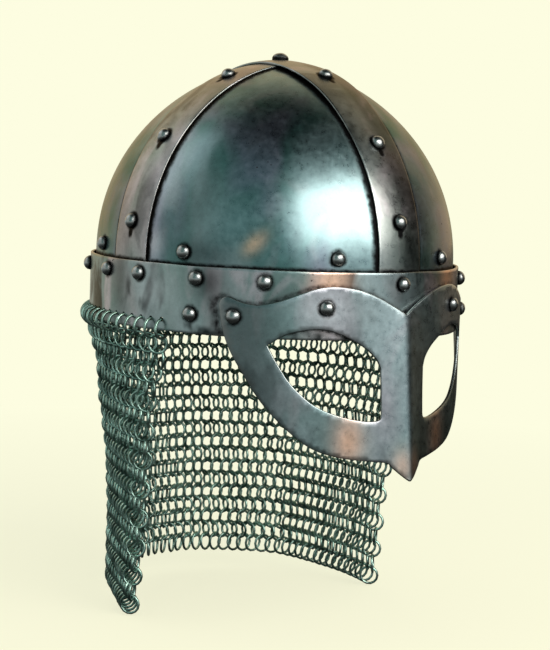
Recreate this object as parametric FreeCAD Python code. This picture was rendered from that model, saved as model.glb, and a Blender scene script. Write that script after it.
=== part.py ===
import FreeCAD, Part
import math
import os

# Spangenhelm-type helmet with a spectacle guard and a mail curtain.
# Millimetres. +Z is up, -Y is the wearer's front, -X is the wearer's right.
# The origin is the centre of the plane of the brow band's top edge, where
# the helmet sits on the head.
#
# Every sheet is first built round, as a body of revolution about Z, and is
# then stretched front to back by length_ratio, so that the plan is oval.

V = FreeCAD.Vector
PARTS = "parts"
os.makedirs(PARTS, exist_ok=True)

# Dome
half_width = 97.5           # outer face of the plates at the brow, side to side
length_ratio = 1.10         # front-to-back over side-to-side
dome_rise = 109.0           # plates' apex over the brow plane
dome_fall_power = 2.1       # how late the profile starts to fall in
dome_peak_power = 1.78      # below 2 gives the slightly pointed crown
plate_sheet = 1.5           # thickness of the four dome plates
plate_skirt = 15.0          # plates run down behind the brow band
lap_reach = 4.0             # plate edge past the centre line of its strap
lap_joggle = 2.0            # width of the step in a lapped-under edge
crown_clear = 9.5           # plates stop this far from the apex rivet
lay_gap = 0.1               # clearance between sheets that lie on each other

# Straps
strap_width = 28.0
strap_sheet = 1.2
strap_tuck = 22.0           # straps run down behind the brow band
strap_lift_from = 72.0      # height where the upper strap starts to lift off
strap_lift_to = 100.0       # height where it has cleared the lower strap
crown_bore_share = 0.75     # first bore at the apex, share of the rivet shank's radius

# Brow band
band_height = 35.5
band_sheet = 1.5

# Spectacle guard
guard_sheet = 1.8
guard_gap = 0.25            # clearance between the guard and the band
guard_top = 4.0             # the blank starts this far under the brow plane
guard_tip = 109.0           # lowest point of the nose, under the brow plane
guard_ridge_top = 0.6       # nose ridge in front of the round line, at the notch
guard_ridge_tip = 10.4      # nose ridge in front of the round line, at the tip
guard_half_width = 85.0     # centre to the outer end of an arm, seen from ahead
guard_turn_deg = 30.0       # direction in which each half's outline is cut
guard_blank_past = 1.2      # the blank runs this far past the nose's tip
guard_blank_deg = 75.0      # and this far round each side
guard_level_shares = (0.0, 0.08, 0.2, 0.4, 0.65, 1.0)  # heights at which its plan is drawn

# Rivets
rivet_head_radius = 4.3
rivet_head_height = 3.8
rivet_head_edge = 0.5
rivet_shank_radius = 2.0
rivet_hole_play = 0.15      # hole radius over shank radius
rivet_tail_radius = 2.9
rivet_tail_height = 1.0
rivet_seat = 0.12           # lets a flat head sit on a curved sheet
seam_turn_deg = 37.0        # keeps the drills' seams off the planes of symmetry
apex_head_radius = 4.7
apex_head_height = 3.8

strap_rivet_top = 100.0     # heights of the three rivets on each strap arm
strap_rivet_mid = 66.0
strap_rivet_front_low = 25.5
strap_rivet_side_low = 20.5
band_rivet_drop = 6.3       # upper row on the band, under its top edge
band_rivet_degs = (0.0, 43.0, 63.2, 83.8, 100.0, 123.0, 151.0, 180.0)
side_rivet_drop = 25.3      # one rivet low on each side of the band
side_rivet_deg = 64.8
guard_rivet_inner_deg = 25.4
guard_rivet_inner_drop = 18.5
guard_rivet_outer_deg = 51.4
guard_rivet_outer_drop = 24.7
liner_rivet_rise = 6.6      # liner rivets, just over the band
liner_rivet_degs = (21.6, 68.4, 108.6, 158.4)

# Liner
leather = 1.8               # thickness of the headband and its tongues
liner_gap = 0.25            # headband to the lapped plate edges
liner_low = 2.0             # headband's lower edge under the brow plane
liner_high = 13.0           # headband's upper edge, where the tongues start
tongue_count = 8
tongue_tip_radius = 26.0
tongue_tip_rise = 78.0
tongue_bow_share = 0.66     # how far the tongues bow out from a straight slope
tongue_slot = 9.0           # width of the slots between tongues at the tips
tongue_slot_foot = 7.5      # width of the slots at the headband
tongue_slot_rise = 14.0     # height where the slots start
hem_radius = 3.4            # rolled hem at each tongue's tip
lace_radius = 1.25          # lace that draws the tips together
lace_play = 0.3
washer_radius = 4.6
washer_sheet = 0.8
washer_seat = 0.3           # lets a flat washer lie in the curved headband

# Mail
ring_radius = 5.2           # middle of the wire
wire_radius = 0.8
ring_columns = 54
ring_hole_radius = 1.25
ring_hole_rise = 6.0        # holes over the band's lower edge
mail_start_deg = 74.5       # free front edge at the band, from straight ahead
mail_end_deg = 88.5         # the same edge at the hem, where it has drawn back
mail_drop = 194.0           # hem under the brow plane
mail_thick = 2.0            # an open net that weighs about what the rings weigh
mail_draw_in = 15.5         # how far the hem hangs inside the hanger rings
mail_gap = 0.3              # between pieces that move on each other
corner_from_deg = 128.5     # the fixed strip behind each flap
corner_to_deg = 136.0
net_pitch = 13.6            # between openings of the net, each the gaps of four rings
net_web = 3.6               # left between two openings
net_rows = 12

# How the curtain draws in: share of the hang, share of mail_draw_in.
mail_fall_shares = (
    (0.0, 0.10), (0.08, 0.32), (0.26, 0.53), (0.48, 0.86), (0.68, 0.98), (1.0, 1.0),
)

# Dome profile stations, as shares of a quarter turn.
dome_station_shares = (0.0, 0.09, 0.18, 0.28, 0.38, 0.48, 0.58, 0.68, 0.78, 0.87, 0.94)

# Outline of one half of the guard, seen from straight ahead:
# share of guard_half_width, share of guard_tip.
guard_brow_shares = (
    (-0.02, 0.203), (0.09, 0.160), (0.20, 0.117), (0.33, 0.082), (0.46, 0.068), (0.56, 0.076),
    (0.66, 0.108), (0.76, 0.146), (0.85, 0.168),
)
guard_end_top_shares = ((0.85, 0.168), (0.91, 0.158), (0.965, 0.134))
guard_end_round_shares = ((0.965, 0.134), (0.985, 0.142), (0.995, 0.165), (0.995, 0.192))
guard_end_side_shares = (
    (0.995, 0.192), (0.982, 0.290), (0.955, 0.385), (0.905, 0.490), (0.82, 0.630), (0.70, 0.755),
    (0.57, 0.842), (0.42, 0.884), (0.25, 0.902), (0.165, 0.907),
)
guard_nose_step_shares = ((0.165, 0.907), (0.130, 0.914), (0.112, 0.932))
guard_nose_shares = ((0.112, 0.932), (0.05, 0.975), (0.012, 1.0))
guard_tip_shares = ((0.012, 1.0), (-0.02, 1.0))

# Eye hole of one half, in the same shares.
eye_top_shares = (
    (0.802, 0.356), (0.715, 0.301), (0.60, 0.275), (0.505, 0.276), (0.40, 0.306), (0.28, 0.358),
    (0.205, 0.412), (0.177, 0.458),
)
eye_nose_shares = ((0.177, 0.458), (0.172, 0.580), (0.172, 0.680))
eye_corner_shares = ((0.172, 0.680), (0.178, 0.700), (0.205, 0.709))
eye_low_shares = (
    (0.205, 0.709), (0.27, 0.709), (0.38, 0.693), (0.51, 0.658), (0.60, 0.612), (0.69, 0.533),
    (0.755, 0.440), (0.802, 0.356),
)

# Values worked out
strap_in = lay_gap
strap_out = strap_in + strap_sheet
lift_in = strap_out + lay_gap
band_in = strap_out + lay_gap
band_out = band_in + band_sheet
guard_in = band_out + guard_gap
guard_out = guard_in + guard_sheet
lap_in = plate_sheet + lay_gap
lap_under = lap_in + plate_sheet
hole_radius = rivet_shank_radius + rivet_hole_play
hanger_round = half_width + band_in + band_sheet / 2.0
hanger_hole_z = ring_hole_rise - band_height
hanger_z = hanger_hole_z - ring_radius
hanger_low = hanger_z - ring_radius - wire_radius
mail_top = hanger_low - mail_gap
mail_axis_z = mail_top - mail_thick / 2.0
overrun = 2.0 * half_width


def point_at(deg, radius, z):
    """Point on the round form, deg from straight ahead towards the wearer's left."""
    a = math.radians(deg)
    return V(radius * math.sin(a), -radius * math.cos(a), z)


def oval(p):
    return V(p.x, p.y * length_ratio, p.z)


def stretch(shape):
    m = FreeCAD.Matrix()
    m.A22 = length_ratio
    return shape.transformGeometry(m)


def dome_radius(z):
    t = max(z, 0.0) / dome_rise
    return half_width * max(1.0 - t ** dome_fall_power, 0.0) ** (1.0 / dome_peak_power)


def dome_normal(z):
    """Outward normal of the profile, as (radial, vertical)."""
    t = max(z, 0.0) / dome_rise
    if t <= 0.0:
        return 1.0, 0.0
    body = 1.0 - t ** dome_fall_power
    if body <= 0.0:
        return 0.0, 1.0
    slope = dome_fall_power * t ** (dome_fall_power - 1.0) / dome_peak_power
    fall = half_width * slope * body ** (1.0 / dome_peak_power - 1.0)
    size = math.hypot(dome_rise, fall)
    return dome_rise / size, fall / size


def lift_share(z):
    """How much of its lift over the lower strap the upper strap has at a height."""
    w = min(max((z - strap_lift_from) / (strap_lift_to - strap_lift_from), 0.0), 1.0)
    return w * w * (3.0 - 2.0 * w)


def profile_points(offset, lift):
    """Profile of the dome moved out by offset, plus a lift that grows to the crown."""
    pts = []
    for share in dome_station_shares:
        z = dome_rise * math.sin(share * math.pi / 2.0)
        grow = lift * lift_share(z)
        nr, nz = dome_normal(z)
        pts.append(V(dome_radius(z) + (offset + grow) * nr, 0, z + (offset + grow) * nz))
    pts.append(V(0, 0, dome_rise + offset + lift))
    return pts


def profile_curve(offset, lift=0.0):
    curve = Part.BSplineCurve()
    pts = profile_points(offset, lift)
    curve.interpolate(Points=pts, InitialTangent=V(0, 0, 1), FinalTangent=V(-1, 0, 0))
    return curve, pts


def dome_shell(off_in, off_out, low, lift=0.0):
    """Round shell between two offsets, down to low under the brow plane."""
    inner, ip = profile_curve(off_in, lift)
    outer, op = profile_curve(off_out, lift)
    a = V(ip[0].x, 0, -low)
    b = V(op[0].x, 0, -low)
    edges = [
        inner.toShape(),
        Part.makeLine(ip[-1], op[-1]),
        outer.toShape(),
        Part.makeLine(op[0], b),
        Part.makeLine(b, a),
        Part.makeLine(a, ip[0]),
    ]
    face = Part.Face(Part.Wire(Part.__sortEdges__(edges)))
    return face.revolve(V(0, 0, 0), V(0, 0, 1), 360)


def block(x0, x1, y0, y1, z0, z1):
    return Part.makeBox(x1 - x0, y1 - y0, z1 - z0, V(x0, y0, z0))


def surface_point(deg, z, offset):
    """Real place and outward normal at an angle and height, offset from the plates."""
    a = math.radians(deg)
    nr, nz = dome_normal(z)
    r = dome_radius(z) + offset * nr
    p = oval(V(r * math.sin(a), -r * math.cos(a), z + offset * nz))
    n = V(nr * math.sin(a), -nr * math.cos(a) / length_ratio, nz)
    return p, n.normalize()


def seat(deg, z, off_out, off_in):
    """Where a rivet's head sits, its axis, and the thickness it clamps."""
    p, n = surface_point(deg, z, off_out)
    q, m = surface_point(deg, z, off_in)
    return p, n, (p - q).dot(n)


def turned(points_list):
    """Turn an outline about Z; pairs of points are lines and triples are arcs."""
    edges = []
    for pts in points_list:
        if len(pts) == 2:
            edges.append(Part.makeLine(pts[0], pts[1]))
        else:
            edges.append(Part.Arc(pts[0], pts[1], pts[2]).toShape())
    face = Part.Face(Part.Wire(edges))
    return face.revolve(V(0, 0, 0), V(0, 0, 1), 360)


def aim(shape, place, axis):
    s = shape.copy()
    s.Placement = FreeCAD.Placement(place, FreeCAD.Rotation(V(0, 0, 1), axis))
    return s


def cap_mid(radius, height, foot):
    """Middle point of the arc of a domed cap from (radius, foot) to (0, height)."""
    rise = height - foot
    ball = (radius * radius + rise * rise) / (2.0 * rise)
    centre = height - ball
    half = math.asin(min(radius / ball, 1.0)) / 2.0
    return V(ball * math.sin(half), 0, centre + ball * math.cos(half))


def rivet(grip, head_r, head_h):
    """Domed head over z = 0, shank down through the sheets, peened tail."""
    top = rivet_seat
    low = -grip - rivet_seat
    edge = top + rivet_head_edge
    tail = low - rivet_tail_height
    tail_mid = cap_mid(rivet_tail_radius, rivet_tail_height, 0.0)
    steps = [
        (V(0, 0, tail), V(tail_mid.x, 0, low - tail_mid.z), V(rivet_tail_radius, 0, low)),
        (V(rivet_tail_radius, 0, low), V(rivet_shank_radius, 0, low)),
        (V(rivet_shank_radius, 0, low), V(rivet_shank_radius, 0, top)),
        (V(rivet_shank_radius, 0, top), V(head_r, 0, top)),
        (V(head_r, 0, top), V(head_r, 0, edge)),
        (V(head_r, 0, edge), cap_mid(head_r, top + head_h, edge), V(0, 0, top + head_h)),
        (V(0, 0, top + head_h), V(0, 0, tail)),
    ]
    return turned(steps)


def drill(place, axis, radius, reach):
    tool = Part.makeCylinder(radius, 2.0 * reach, place - axis * reach, axis)
    tool.rotate(place, axis, seam_turn_deg)
    return tool


def both_sides(degs):
    out = []
    for d in degs:
        out.append(d)
        if 0.0 < d < 180.0:
            out.append(-d)
    return out


def cut_all(shape, tools):
    if not tools:
        return shape
    return shape.cut(Part.makeCompound(tools))


def biggest(shape):
    """The main solid of a cut result, without slivers."""
    return max(shape.Solids, key=lambda s: s.Volume)


def export(name, shape):
    shape.exportStep(os.path.join(PARTS, name + ".step"))
    print(name, len(shape.Solids), "solids", round(shape.Volume, 1), "mm3", shape.isValid())


# Rivets
# Each group holds (place, axis, grip) and drills the sheets that it passes.
strap_rivets = []
for deg in (0.0, 180.0):
    for z in (strap_rivet_front_low, strap_rivet_mid, strap_rivet_top):
        strap_rivets.append(seat(deg, z, strap_out + lift_in * lift_share(z), -lap_under))
for deg in (90.0, -90.0):
    for z in (strap_rivet_side_low, strap_rivet_mid, strap_rivet_top):
        strap_rivets.append(seat(deg, z, strap_out, -lap_under))

band_rivets = []
for deg in both_sides(band_rivet_degs):
    reach_in = lap_under if deg in (0.0, 180.0) else plate_sheet
    band_rivets.append(seat(deg, -band_rivet_drop, band_out, -reach_in))

side_rivets = []
for deg in both_sides((side_rivet_deg,)):
    side_rivets.append(seat(deg, -side_rivet_drop, band_out, band_in))

guard_rivets = []
for deg in both_sides((guard_rivet_inner_deg,)):
    guard_rivets.append(seat(deg, -guard_rivet_inner_drop, guard_out, band_in))
for deg in both_sides((guard_rivet_outer_deg,)):
    guard_rivets.append(seat(deg, -guard_rivet_outer_drop, guard_out, band_in))

liner_out_r = dome_radius(liner_high) - lap_under - liner_gap
liner_in_r = liner_out_r - leather
washer_in = dome_radius(liner_rivet_rise) - liner_in_r + washer_seat
liner_rivets = []
for deg in both_sides(liner_rivet_degs):
    liner_rivets.append(seat(deg, liner_rivet_rise, 0.0, -(washer_in + washer_sheet)))

apex_place = V(0, 0, dome_rise + lift_in + strap_out)
apex_grip = lift_in + strap_out - strap_in

shank_tools = []
for place, axis, grip in strap_rivets + band_rivets + guard_rivets + liner_rivets + side_rivets:
    shank_tools.append(drill(place, axis, hole_radius, grip + rivet_head_radius))
apex_tool = drill(apex_place, V(0, 0, 1), hole_radius, apex_grip + rivet_head_radius)


def near_tools(shape):
    """The drills whose axis passes through the piece's own box."""
    keep = []
    box = shape.BoundBox
    for tool in shank_tools:
        if box.intersect(tool.BoundBox):
            keep.append(tool)
    return keep


# Dome plates
# Front right and back left lap over their neighbours under the straps; the
# other two have a joggled edge that runs under. All four stop short of the
# apex, where only the two straps meet.
full = dome_shell(-plate_sheet, 0.0, plate_skirt)
under = dome_shell(-lap_under, -lap_in, plate_skirt)
top_z = dome_rise + overrun
low_z = -plate_skirt - overrun
lap_y = lap_reach / length_ratio
crown = Part.makeCylinder(crown_clear / length_ratio, 2.0 * overrun, V(0, 0, 0))


def plate_over(sx, sy):
    x = sorted((sx * overrun, -sx * lap_reach))
    y = sorted((sy * overrun, -sy * lap_y))
    return full.common(block(x[0], x[1], y[0], y[1], low_z, top_z)).cut(crown)


def plate_under(sx, sy):
    x = sorted((sx * overrun, sx * (lap_reach + lay_gap)))
    y = sorted((sy * overrun, sy * (lap_y + lay_gap)))
    main = full.common(block(x[0], x[1], y[0], y[1], low_z, top_z))
    xo = sorted((sx * overrun, -sx * lap_reach))
    yo = sorted((sy * overrun, -sy * lap_y))
    xi = sorted((sx * overrun, sx * (lap_reach + lap_joggle)))
    yi = sorted((sy * overrun, sy * (lap_y + lap_joggle)))
    lap = under.common(block(xo[0], xo[1], yo[0], yo[1], low_z, top_z))
    lap = lap.cut(block(xi[0], xi[1], yi[0], yi[1], low_z, top_z))
    # the step that ties the lapped edge to the plate
    mid = dome_shell(-lap_under, 0.0, plate_skirt)
    xs = sorted((sx * overrun, sx * (lap_reach + lay_gap)))
    ys = sorted((sy * overrun, sy * (lap_y + lay_gap)))
    step = mid.common(block(xs[0], xs[1], ys[0], ys[1], low_z, top_z))
    step = step.cut(block(xi[0], xi[1], yi[0], yi[1], low_z, top_z))
    return main.fuse([lap, step]).cut(crown)


plates = {
    "plate_front_right": plate_over(-1, -1),
    "plate_back_left": plate_over(1, 1),
    "plate_front_left": plate_under(1, -1),
    "plate_back_right": plate_under(-1, 1),
}
for name in plates:
    piece = stretch(biggest(plates[name]))
    export(name, biggest(cut_all(piece, near_tools(piece))))

# Straps
def strap_shell(lift):
    """Round shell of a strap's sheet, bored at the apex inside its rivet's hole."""
    shell = dome_shell(strap_in, strap_out, strap_tuck, lift)
    bore = Part.makeCylinder(rivet_shank_radius * crown_bore_share, dome_rise, V(0, 0, dome_rise / 2.0))
    shell = shell.cut(bore)
    shell.rotate(V(0, 0, 0), V(0, 0, 1), seam_turn_deg)
    return shell


half_strap = strap_width / 2.0
side_shell = strap_shell(0.0)
half_strap_y = half_strap / length_ratio
strap_side = side_shell.common(block(-overrun, overrun, -half_strap_y, half_strap_y, low_z, top_z))
strap_side = stretch(strap_side)
export("strap_side", biggest(cut_all(strap_side, near_tools(strap_side) + [apex_tool])))

front_shell = strap_shell(lift_in)
strap_long = front_shell.common(block(-half_strap, half_strap, -overrun, overrun, low_z, top_z))
strap_long = stretch(strap_long)
export("strap_front_back", biggest(cut_all(strap_long, near_tools(strap_long) + [apex_tool])))

# Brow band
outer = Part.makeCylinder(half_width + band_out, band_height, V(0, 0, -band_height))
inner = Part.makeCylinder(half_width + band_in, 2.0 * overrun, V(0, 0, -overrun))
band = stretch(outer.cut(inner))


def column_deg(i):
    """Angle of a ring column at the band, from one free edge round the back."""
    span = 360.0 - 2.0 * mail_start_deg
    return mail_start_deg + span * i / (ring_columns - 1.0)


hanger_degs = [column_deg(i) for i in range(ring_columns)]
hole_tools = []
for deg in hanger_degs:
    p = oval(point_at(deg, hanger_round, hanger_hole_z))
    q = oval(point_at(deg, hanger_round + band_sheet, hanger_hole_z))
    hole_tools.append(drill(p, (q - p).normalize(), ring_hole_radius, ring_radius))
band_tools = [t for t in shank_tools if t.BoundBox.ZMin < 0.0]
band = cut_all(band, band_tools + hole_tools)
export("brow_band", biggest(band))


# Spectacle guard
def guard_wire(radius, ridge, z):
    """Plan of the guard: round at the sides, flat to a ridge ahead of the nose."""
    peak = radius + ridge
    touch = math.degrees(math.acos(radius / peak))
    end = guard_blank_deg
    l_end = point_at(-end, radius, z)
    l_mid = point_at(-(end + touch) / 2.0, radius, z)
    l_touch = point_at(-touch, radius, z)
    r_touch = point_at(touch, radius, z)
    r_mid = point_at((end + touch) / 2.0, radius, z)
    r_end = point_at(end, radius, z)
    nose = point_at(0.0, peak, z)
    return [
        Part.Arc(l_end, l_mid, l_touch).toShape(),
        Part.makeLine(l_touch, nose),
        Part.makeLine(nose, r_touch),
        Part.Arc(r_touch, r_mid, r_end).toShape(),
    ]


def guard_section(ridge, z):
    r_in = half_width + guard_in
    r_out = half_width + guard_out
    inner_edges = guard_wire(r_in, ridge, z)
    outer_edges = guard_wire(r_out, ridge * r_out / r_in, z)
    a0 = point_at(-guard_blank_deg, r_in, z)
    a1 = point_at(-guard_blank_deg, r_out, z)
    b0 = point_at(guard_blank_deg, r_in, z)
    b1 = point_at(guard_blank_deg, r_out, z)
    edges = outer_edges + [Part.makeLine(b1, b0)] + inner_edges + [Part.makeLine(a0, a1)]
    return Part.Wire(Part.__sortEdges__(edges))


def ridge_at(z):
    w = (-z - guard_top) / (guard_tip - guard_top)
    return guard_ridge_top + (guard_ridge_tip - guard_ridge_top) * w


def guard_front(x, z):
    """Real y of the guard's outer face where it is seen from straight ahead at x."""
    radius = half_width + guard_out
    ridge = ridge_at(z)
    peak = radius + ridge
    touch = math.acos(radius / peak)
    tx = radius * math.sin(touch)
    ax = abs(x)
    if ax < tx:
        ty = -radius * math.cos(touch)
        return (-peak + (ty + peak) * ax / tx) * length_ratio
    return -math.sqrt(max(radius * radius - ax * ax, 0.0)) * length_ratio


guard_low = guard_tip + guard_blank_past
plans = []
for share in guard_level_shares:
    z = -guard_top - (guard_low - guard_top) * share
    plans.append(guard_section(ridge_at(z), z))
sheet = Part.makeLoft(plans, True, True)
sheet = stretch(sheet)


def outline_prism(rows, side):
    """Prism of an outline, cut square to each half's middle direction."""
    ang = math.radians(guard_turn_deg) * side
    out = V(math.sin(ang), -math.cos(ang), 0)
    across = V(math.cos(ang), math.sin(ang), 0)
    edges = []
    for row in rows:
        pts = []
        for sx, sz in row:
            x = sx * guard_half_width * side
            z = -sz * guard_tip
            y = guard_front(x, z)
            u = x * across.x + y * across.y
            pts.append(across * u + V(0, 0, z))
        if len(pts) == 2:
            edges.append(Part.makeLine(pts[0], pts[1]))
        else:
            curve = Part.BSplineCurve()
            curve.interpolate(pts)
            edges.append(curve.toShape())
    return Part.Face(Part.Wire(Part.__sortEdges__(edges))).extrude(out * overrun)


notch_x, notch_z = guard_brow_shares[0]
tip_x, tip_z = guard_tip_shares[-1]
closing_shares = ((tip_x, tip_z), (notch_x, notch_z))
halves = []
for side in (-1.0, 1.0):
    rows = [guard_brow_shares, guard_end_top_shares, guard_end_round_shares, guard_end_side_shares]
    rows = rows + [guard_nose_step_shares, guard_nose_shares, guard_tip_shares, closing_shares]
    blank = outline_prism(rows, side)
    hole = outline_prism([eye_top_shares, eye_nose_shares, eye_corner_shares, eye_low_shares], side)
    x = sorted((0.0, side * overrun))
    half = sheet.common(blank).cut(hole).common(block(x[0], x[1], -overrun, 0, low_z, top_z))
    halves.append(biggest(half))
guard = halves[0].fuse(halves[1])
guard_tools = [t for t in shank_tools if t.BoundBox.ZMax < -guard_top and t.BoundBox.YMin < 0.0]
guard = cut_all(guard, guard_tools)
export("spectacle_guard", biggest(guard))


# Rivet groups
def rivet_group(name, seats):
    solids = [aim(rivet(grip, rivet_head_radius, rivet_head_height), p, n) for p, n, grip in seats]
    export(name, Part.makeCompound(solids))


rivet_group("rivets_strap", strap_rivets)
rivet_group("rivets_band", band_rivets)
rivet_group("rivets_side", side_rivets)
rivet_group("rivets_guard", guard_rivets)
rivet_group("rivets_liner", liner_rivets)
export("rivet_apex", aim(rivet(apex_grip, apex_head_radius, apex_head_height), apex_place, V(0, 0, 1)))

washers = []
for deg in both_sides(liner_rivet_degs):
    p, n, depth = seat(deg, liner_rivet_rise, 0.0, -washer_in)
    disc = Part.makeCylinder(washer_radius, washer_sheet, p - n * (depth + washer_sheet), n)
    washers.append(disc.cut(drill(p, n, hole_radius, depth + rivet_head_radius)))
export("liner_washers", Part.makeCompound(washers))

# Liner
def tongue_curve(radius, rise):
    """From the headband's upper edge over to the tip, one arc."""
    foot = V(radius, 0, liner_high)
    tip = V(tongue_tip_radius, 0, rise)
    reach = (radius - tongue_tip_radius) * tongue_bow_share
    climb = (rise - liner_high) * tongue_bow_share
    mid = V(tongue_tip_radius + reach, 0, liner_high + climb)
    return foot, mid, tip


o0, o1, o2 = tongue_curve(liner_out_r, tongue_tip_rise + leather / 2.0)
i0, i1, i2 = tongue_curve(liner_in_r, tongue_tip_rise - leather / 2.0)
i1 = i1 - V(0, 0, leather / 2.0)
strip_out = V(liner_out_r, 0, -liner_low)
strip_in = V(liner_in_r, 0, -liner_low)
edges = [
    Part.Arc(o0, o1, o2).toShape(),
    Part.makeLine(o2, i2),
    Part.Arc(i2, i1, i0).toShape(),
    Part.makeLine(i0, strip_in),
    Part.makeLine(strip_in, strip_out),
    Part.makeLine(strip_out, o0),
]
leaf = Part.Face(Part.Wire(edges)).revolve(V(0, 0, 0), V(0, 0, 1), 360)
hem = Part.makeTorus(tongue_tip_radius, hem_radius, V(0, 0, tongue_tip_rise))
channel = Part.makeTorus(tongue_tip_radius, lace_radius + lace_play, V(0, 0, tongue_tip_rise))
liner = leaf.fuse(hem).cut(channel)
slots = []
for i in range(tongue_count):
    deg = 360.0 * i / tongue_count
    tip_half = tongue_slot / 2.0
    foot_half = tongue_slot_foot / 2.0
    z0 = tongue_slot_rise
    z1 = tongue_tip_rise + hem_radius * 2.0
    foot = [V(0, -foot_half, z0), V(0, foot_half, z0)]
    head = [V(0, tip_half, z1), V(0, -tip_half, z1)]
    pts = foot + head + foot[:1]
    wedge = Part.Face(Part.makePolygon(pts)).extrude(V(half_width, 0, 0))
    wedge.rotate(V(0, 0, 0), V(0, 0, 1), deg)
    slots.append(wedge)
liner = stretch(biggest(liner.cut(Part.makeCompound(slots))))
liner_tools = [t for t in near_tools(liner) if t.BoundBox.ZMax > 0.0 and t.BoundBox.ZMin < liner_high]
export("liner", biggest(cut_all(liner, liner_tools)))

lace = stretch(Part.makeTorus(tongue_tip_radius, lace_radius, V(0, 0, tongue_tip_rise)))
export("liner_lace", lace)

# Hanger rings
hangers = []
for deg in hanger_degs:
    centre = oval(point_at(deg, hanger_round, hanger_z))
    along = oval(point_at(deg + 90.0, 1.0, 0)).normalize()
    hangers.append(Part.makeTorus(ring_radius, wire_radius, centre, along))
export("hanger_rings", Part.makeCompound(hangers))


# Mail curtain
def mail_line(offset):
    """Fall of the curtain's middle surface, moved out by offset."""
    hang = mail_drop - (-mail_axis_z)
    pts = []
    for down, inward in mail_fall_shares:
        pts.append((hanger_round - mail_draw_in * inward, mail_axis_z - hang * down))
    out = []
    last = len(pts) - 1
    for i, (r, z) in enumerate(pts):
        r0, z0 = pts[max(i - 1, 0)]
        r1, z1 = pts[min(i + 1, last)]
        size = math.hypot(r1 - r0, z1 - z0)
        nr = -(z1 - z0) / size
        nz = (r1 - r0) / size
        if i in (0, last):
            nr = 1.0
            nz = 0.0
        out.append(V(r + offset * nr, 0, z + offset * nz))
    return out


half_thick = mail_thick / 2.0
out_pts = mail_line(half_thick)
in_pts = mail_line(-half_thick)
crest = V((out_pts[0].x + in_pts[0].x) / 2.0, 0, out_pts[0].z + half_thick)
out_curve = Part.BSplineCurve()
out_curve.interpolate(out_pts)
in_curve = Part.BSplineCurve()
in_curve.interpolate(in_pts)
edges = [
    out_curve.toShape(),
    Part.makeLine(out_pts[-1], in_pts[-1]),
    in_curve.toShape(),
    Part.Arc(in_pts[0], crest, out_pts[0]).toShape(),
]
fall_face = Part.Face(Part.Wire(Part.__sortEdges__(edges)))


def curtain(deg0, deg1):
    """The curtain between two angles from straight ahead."""
    face = fall_face.copy()
    face.rotate(V(0, 0, 0), V(0, 0, 1), deg0 - 90.0)
    return face.revolve(V(0, 0, 0), V(0, 0, 1), deg1 - deg0)


def half_gap_deg(radius):
    return math.degrees(mail_gap / 2.0 / radius)


def free_edge_tool(side):
    """Everything ahead of a flap's free edge, which draws back as it falls."""
    top = point_at(side * mail_start_deg, hanger_round, mail_top)
    hem = point_at(side * mail_end_deg, hanger_round - mail_draw_in, -mail_drop)
    past = (hem - top) * 0.5
    across = point_at(side * (mail_start_deg + mail_end_deg) / 2.0, half_width / 2.0, 0)
    a = top - past
    b = hem + past
    flat = Part.makePolygon([a - across, a + across, b + across, b - across, a - across])
    return Part.Face(flat).extrude(V(0, -overrun, 0))


def net_cutters(side, deg0, free_edge):
    """Six-sided openings of a strip from deg0 to 180, or to a flap's free edge."""
    hang = mail_drop + mail_axis_z
    first = mail_axis_z - net_web - net_pitch / 2.0
    row_pitch = (hang - 2.0 * net_web - net_pitch) / (net_rows - 1.0)
    cutters = []
    columns = 0
    for row in range(net_rows):
        z = first - row * row_pitch
        fallen = (mail_axis_z - z) / hang
        radius = hanger_round - mail_draw_in * share_at(mail_fall_shares, fallen)
        deg1 = corner_to_deg
        if free_edge == "flap":
            deg1 = mail_start_deg + (mail_end_deg - mail_start_deg) * fallen
        if free_edge == "back":
            deg1 = 360.0 - deg0
        web_deg = math.degrees(net_web / radius)
        span = abs(deg1 - deg0) - web_deg
        if not columns:
            columns = max(1, round(math.radians(span) * radius / net_pitch))
        pitch_deg = span / columns
        pitch = math.radians(pitch_deg) * radius
        wide = pitch - net_web
        high = row_pitch * 4.0 / 3.0 * wide / pitch
        shift = 0.5 if row % 2 == 0 or columns == 1 else 1.0
        start = min(deg0, deg1) + web_deg / 2.0
        for i in range(columns if shift == 0.5 else columns - 1):
            deg = side * (start + (i + shift) * pitch_deg)
            cutters.append(six_sided(deg, radius, z, wide, high))
    return cutters


def six_sided(deg, radius, z, wide, high):
    """A six-sided bar that stands across the curtain, with corners at top and bottom."""
    out = point_at(deg, 1.0, 0)
    along = point_at(deg + 90.0, 1.0, 0)
    centre = point_at(deg, radius - net_pitch / 2.0, z)
    corners = []
    for u, v in ((0.0, 0.5), (0.5, 0.25), (0.5, -0.25), (0.0, -0.5), (-0.5, -0.25), (-0.5, 0.25)):
        corners.append(centre + along * (u * wide) + V(0, 0, v * high))
    corners.append(corners[0])
    return Part.Face(Part.makePolygon(corners)).extrude(out * net_pitch)


def share_at(shares, at):
    """Reads a table of shares between its rows."""
    for (a, u), (b, v) in zip(shares, shares[1:]):
        if at <= b:
            return u + (v - u) * (at - a) / (b - a)
    return shares[-1][1]


def open_net(panel, cutters):
    print("openings", len(cutters), "area share kept", end=" ")
    cut = panel.cut(Part.makeCompound(cutters))
    print(round(cut.Volume / panel.Volume, 3), "solids", len(cut.Solids))
    return cut


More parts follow.
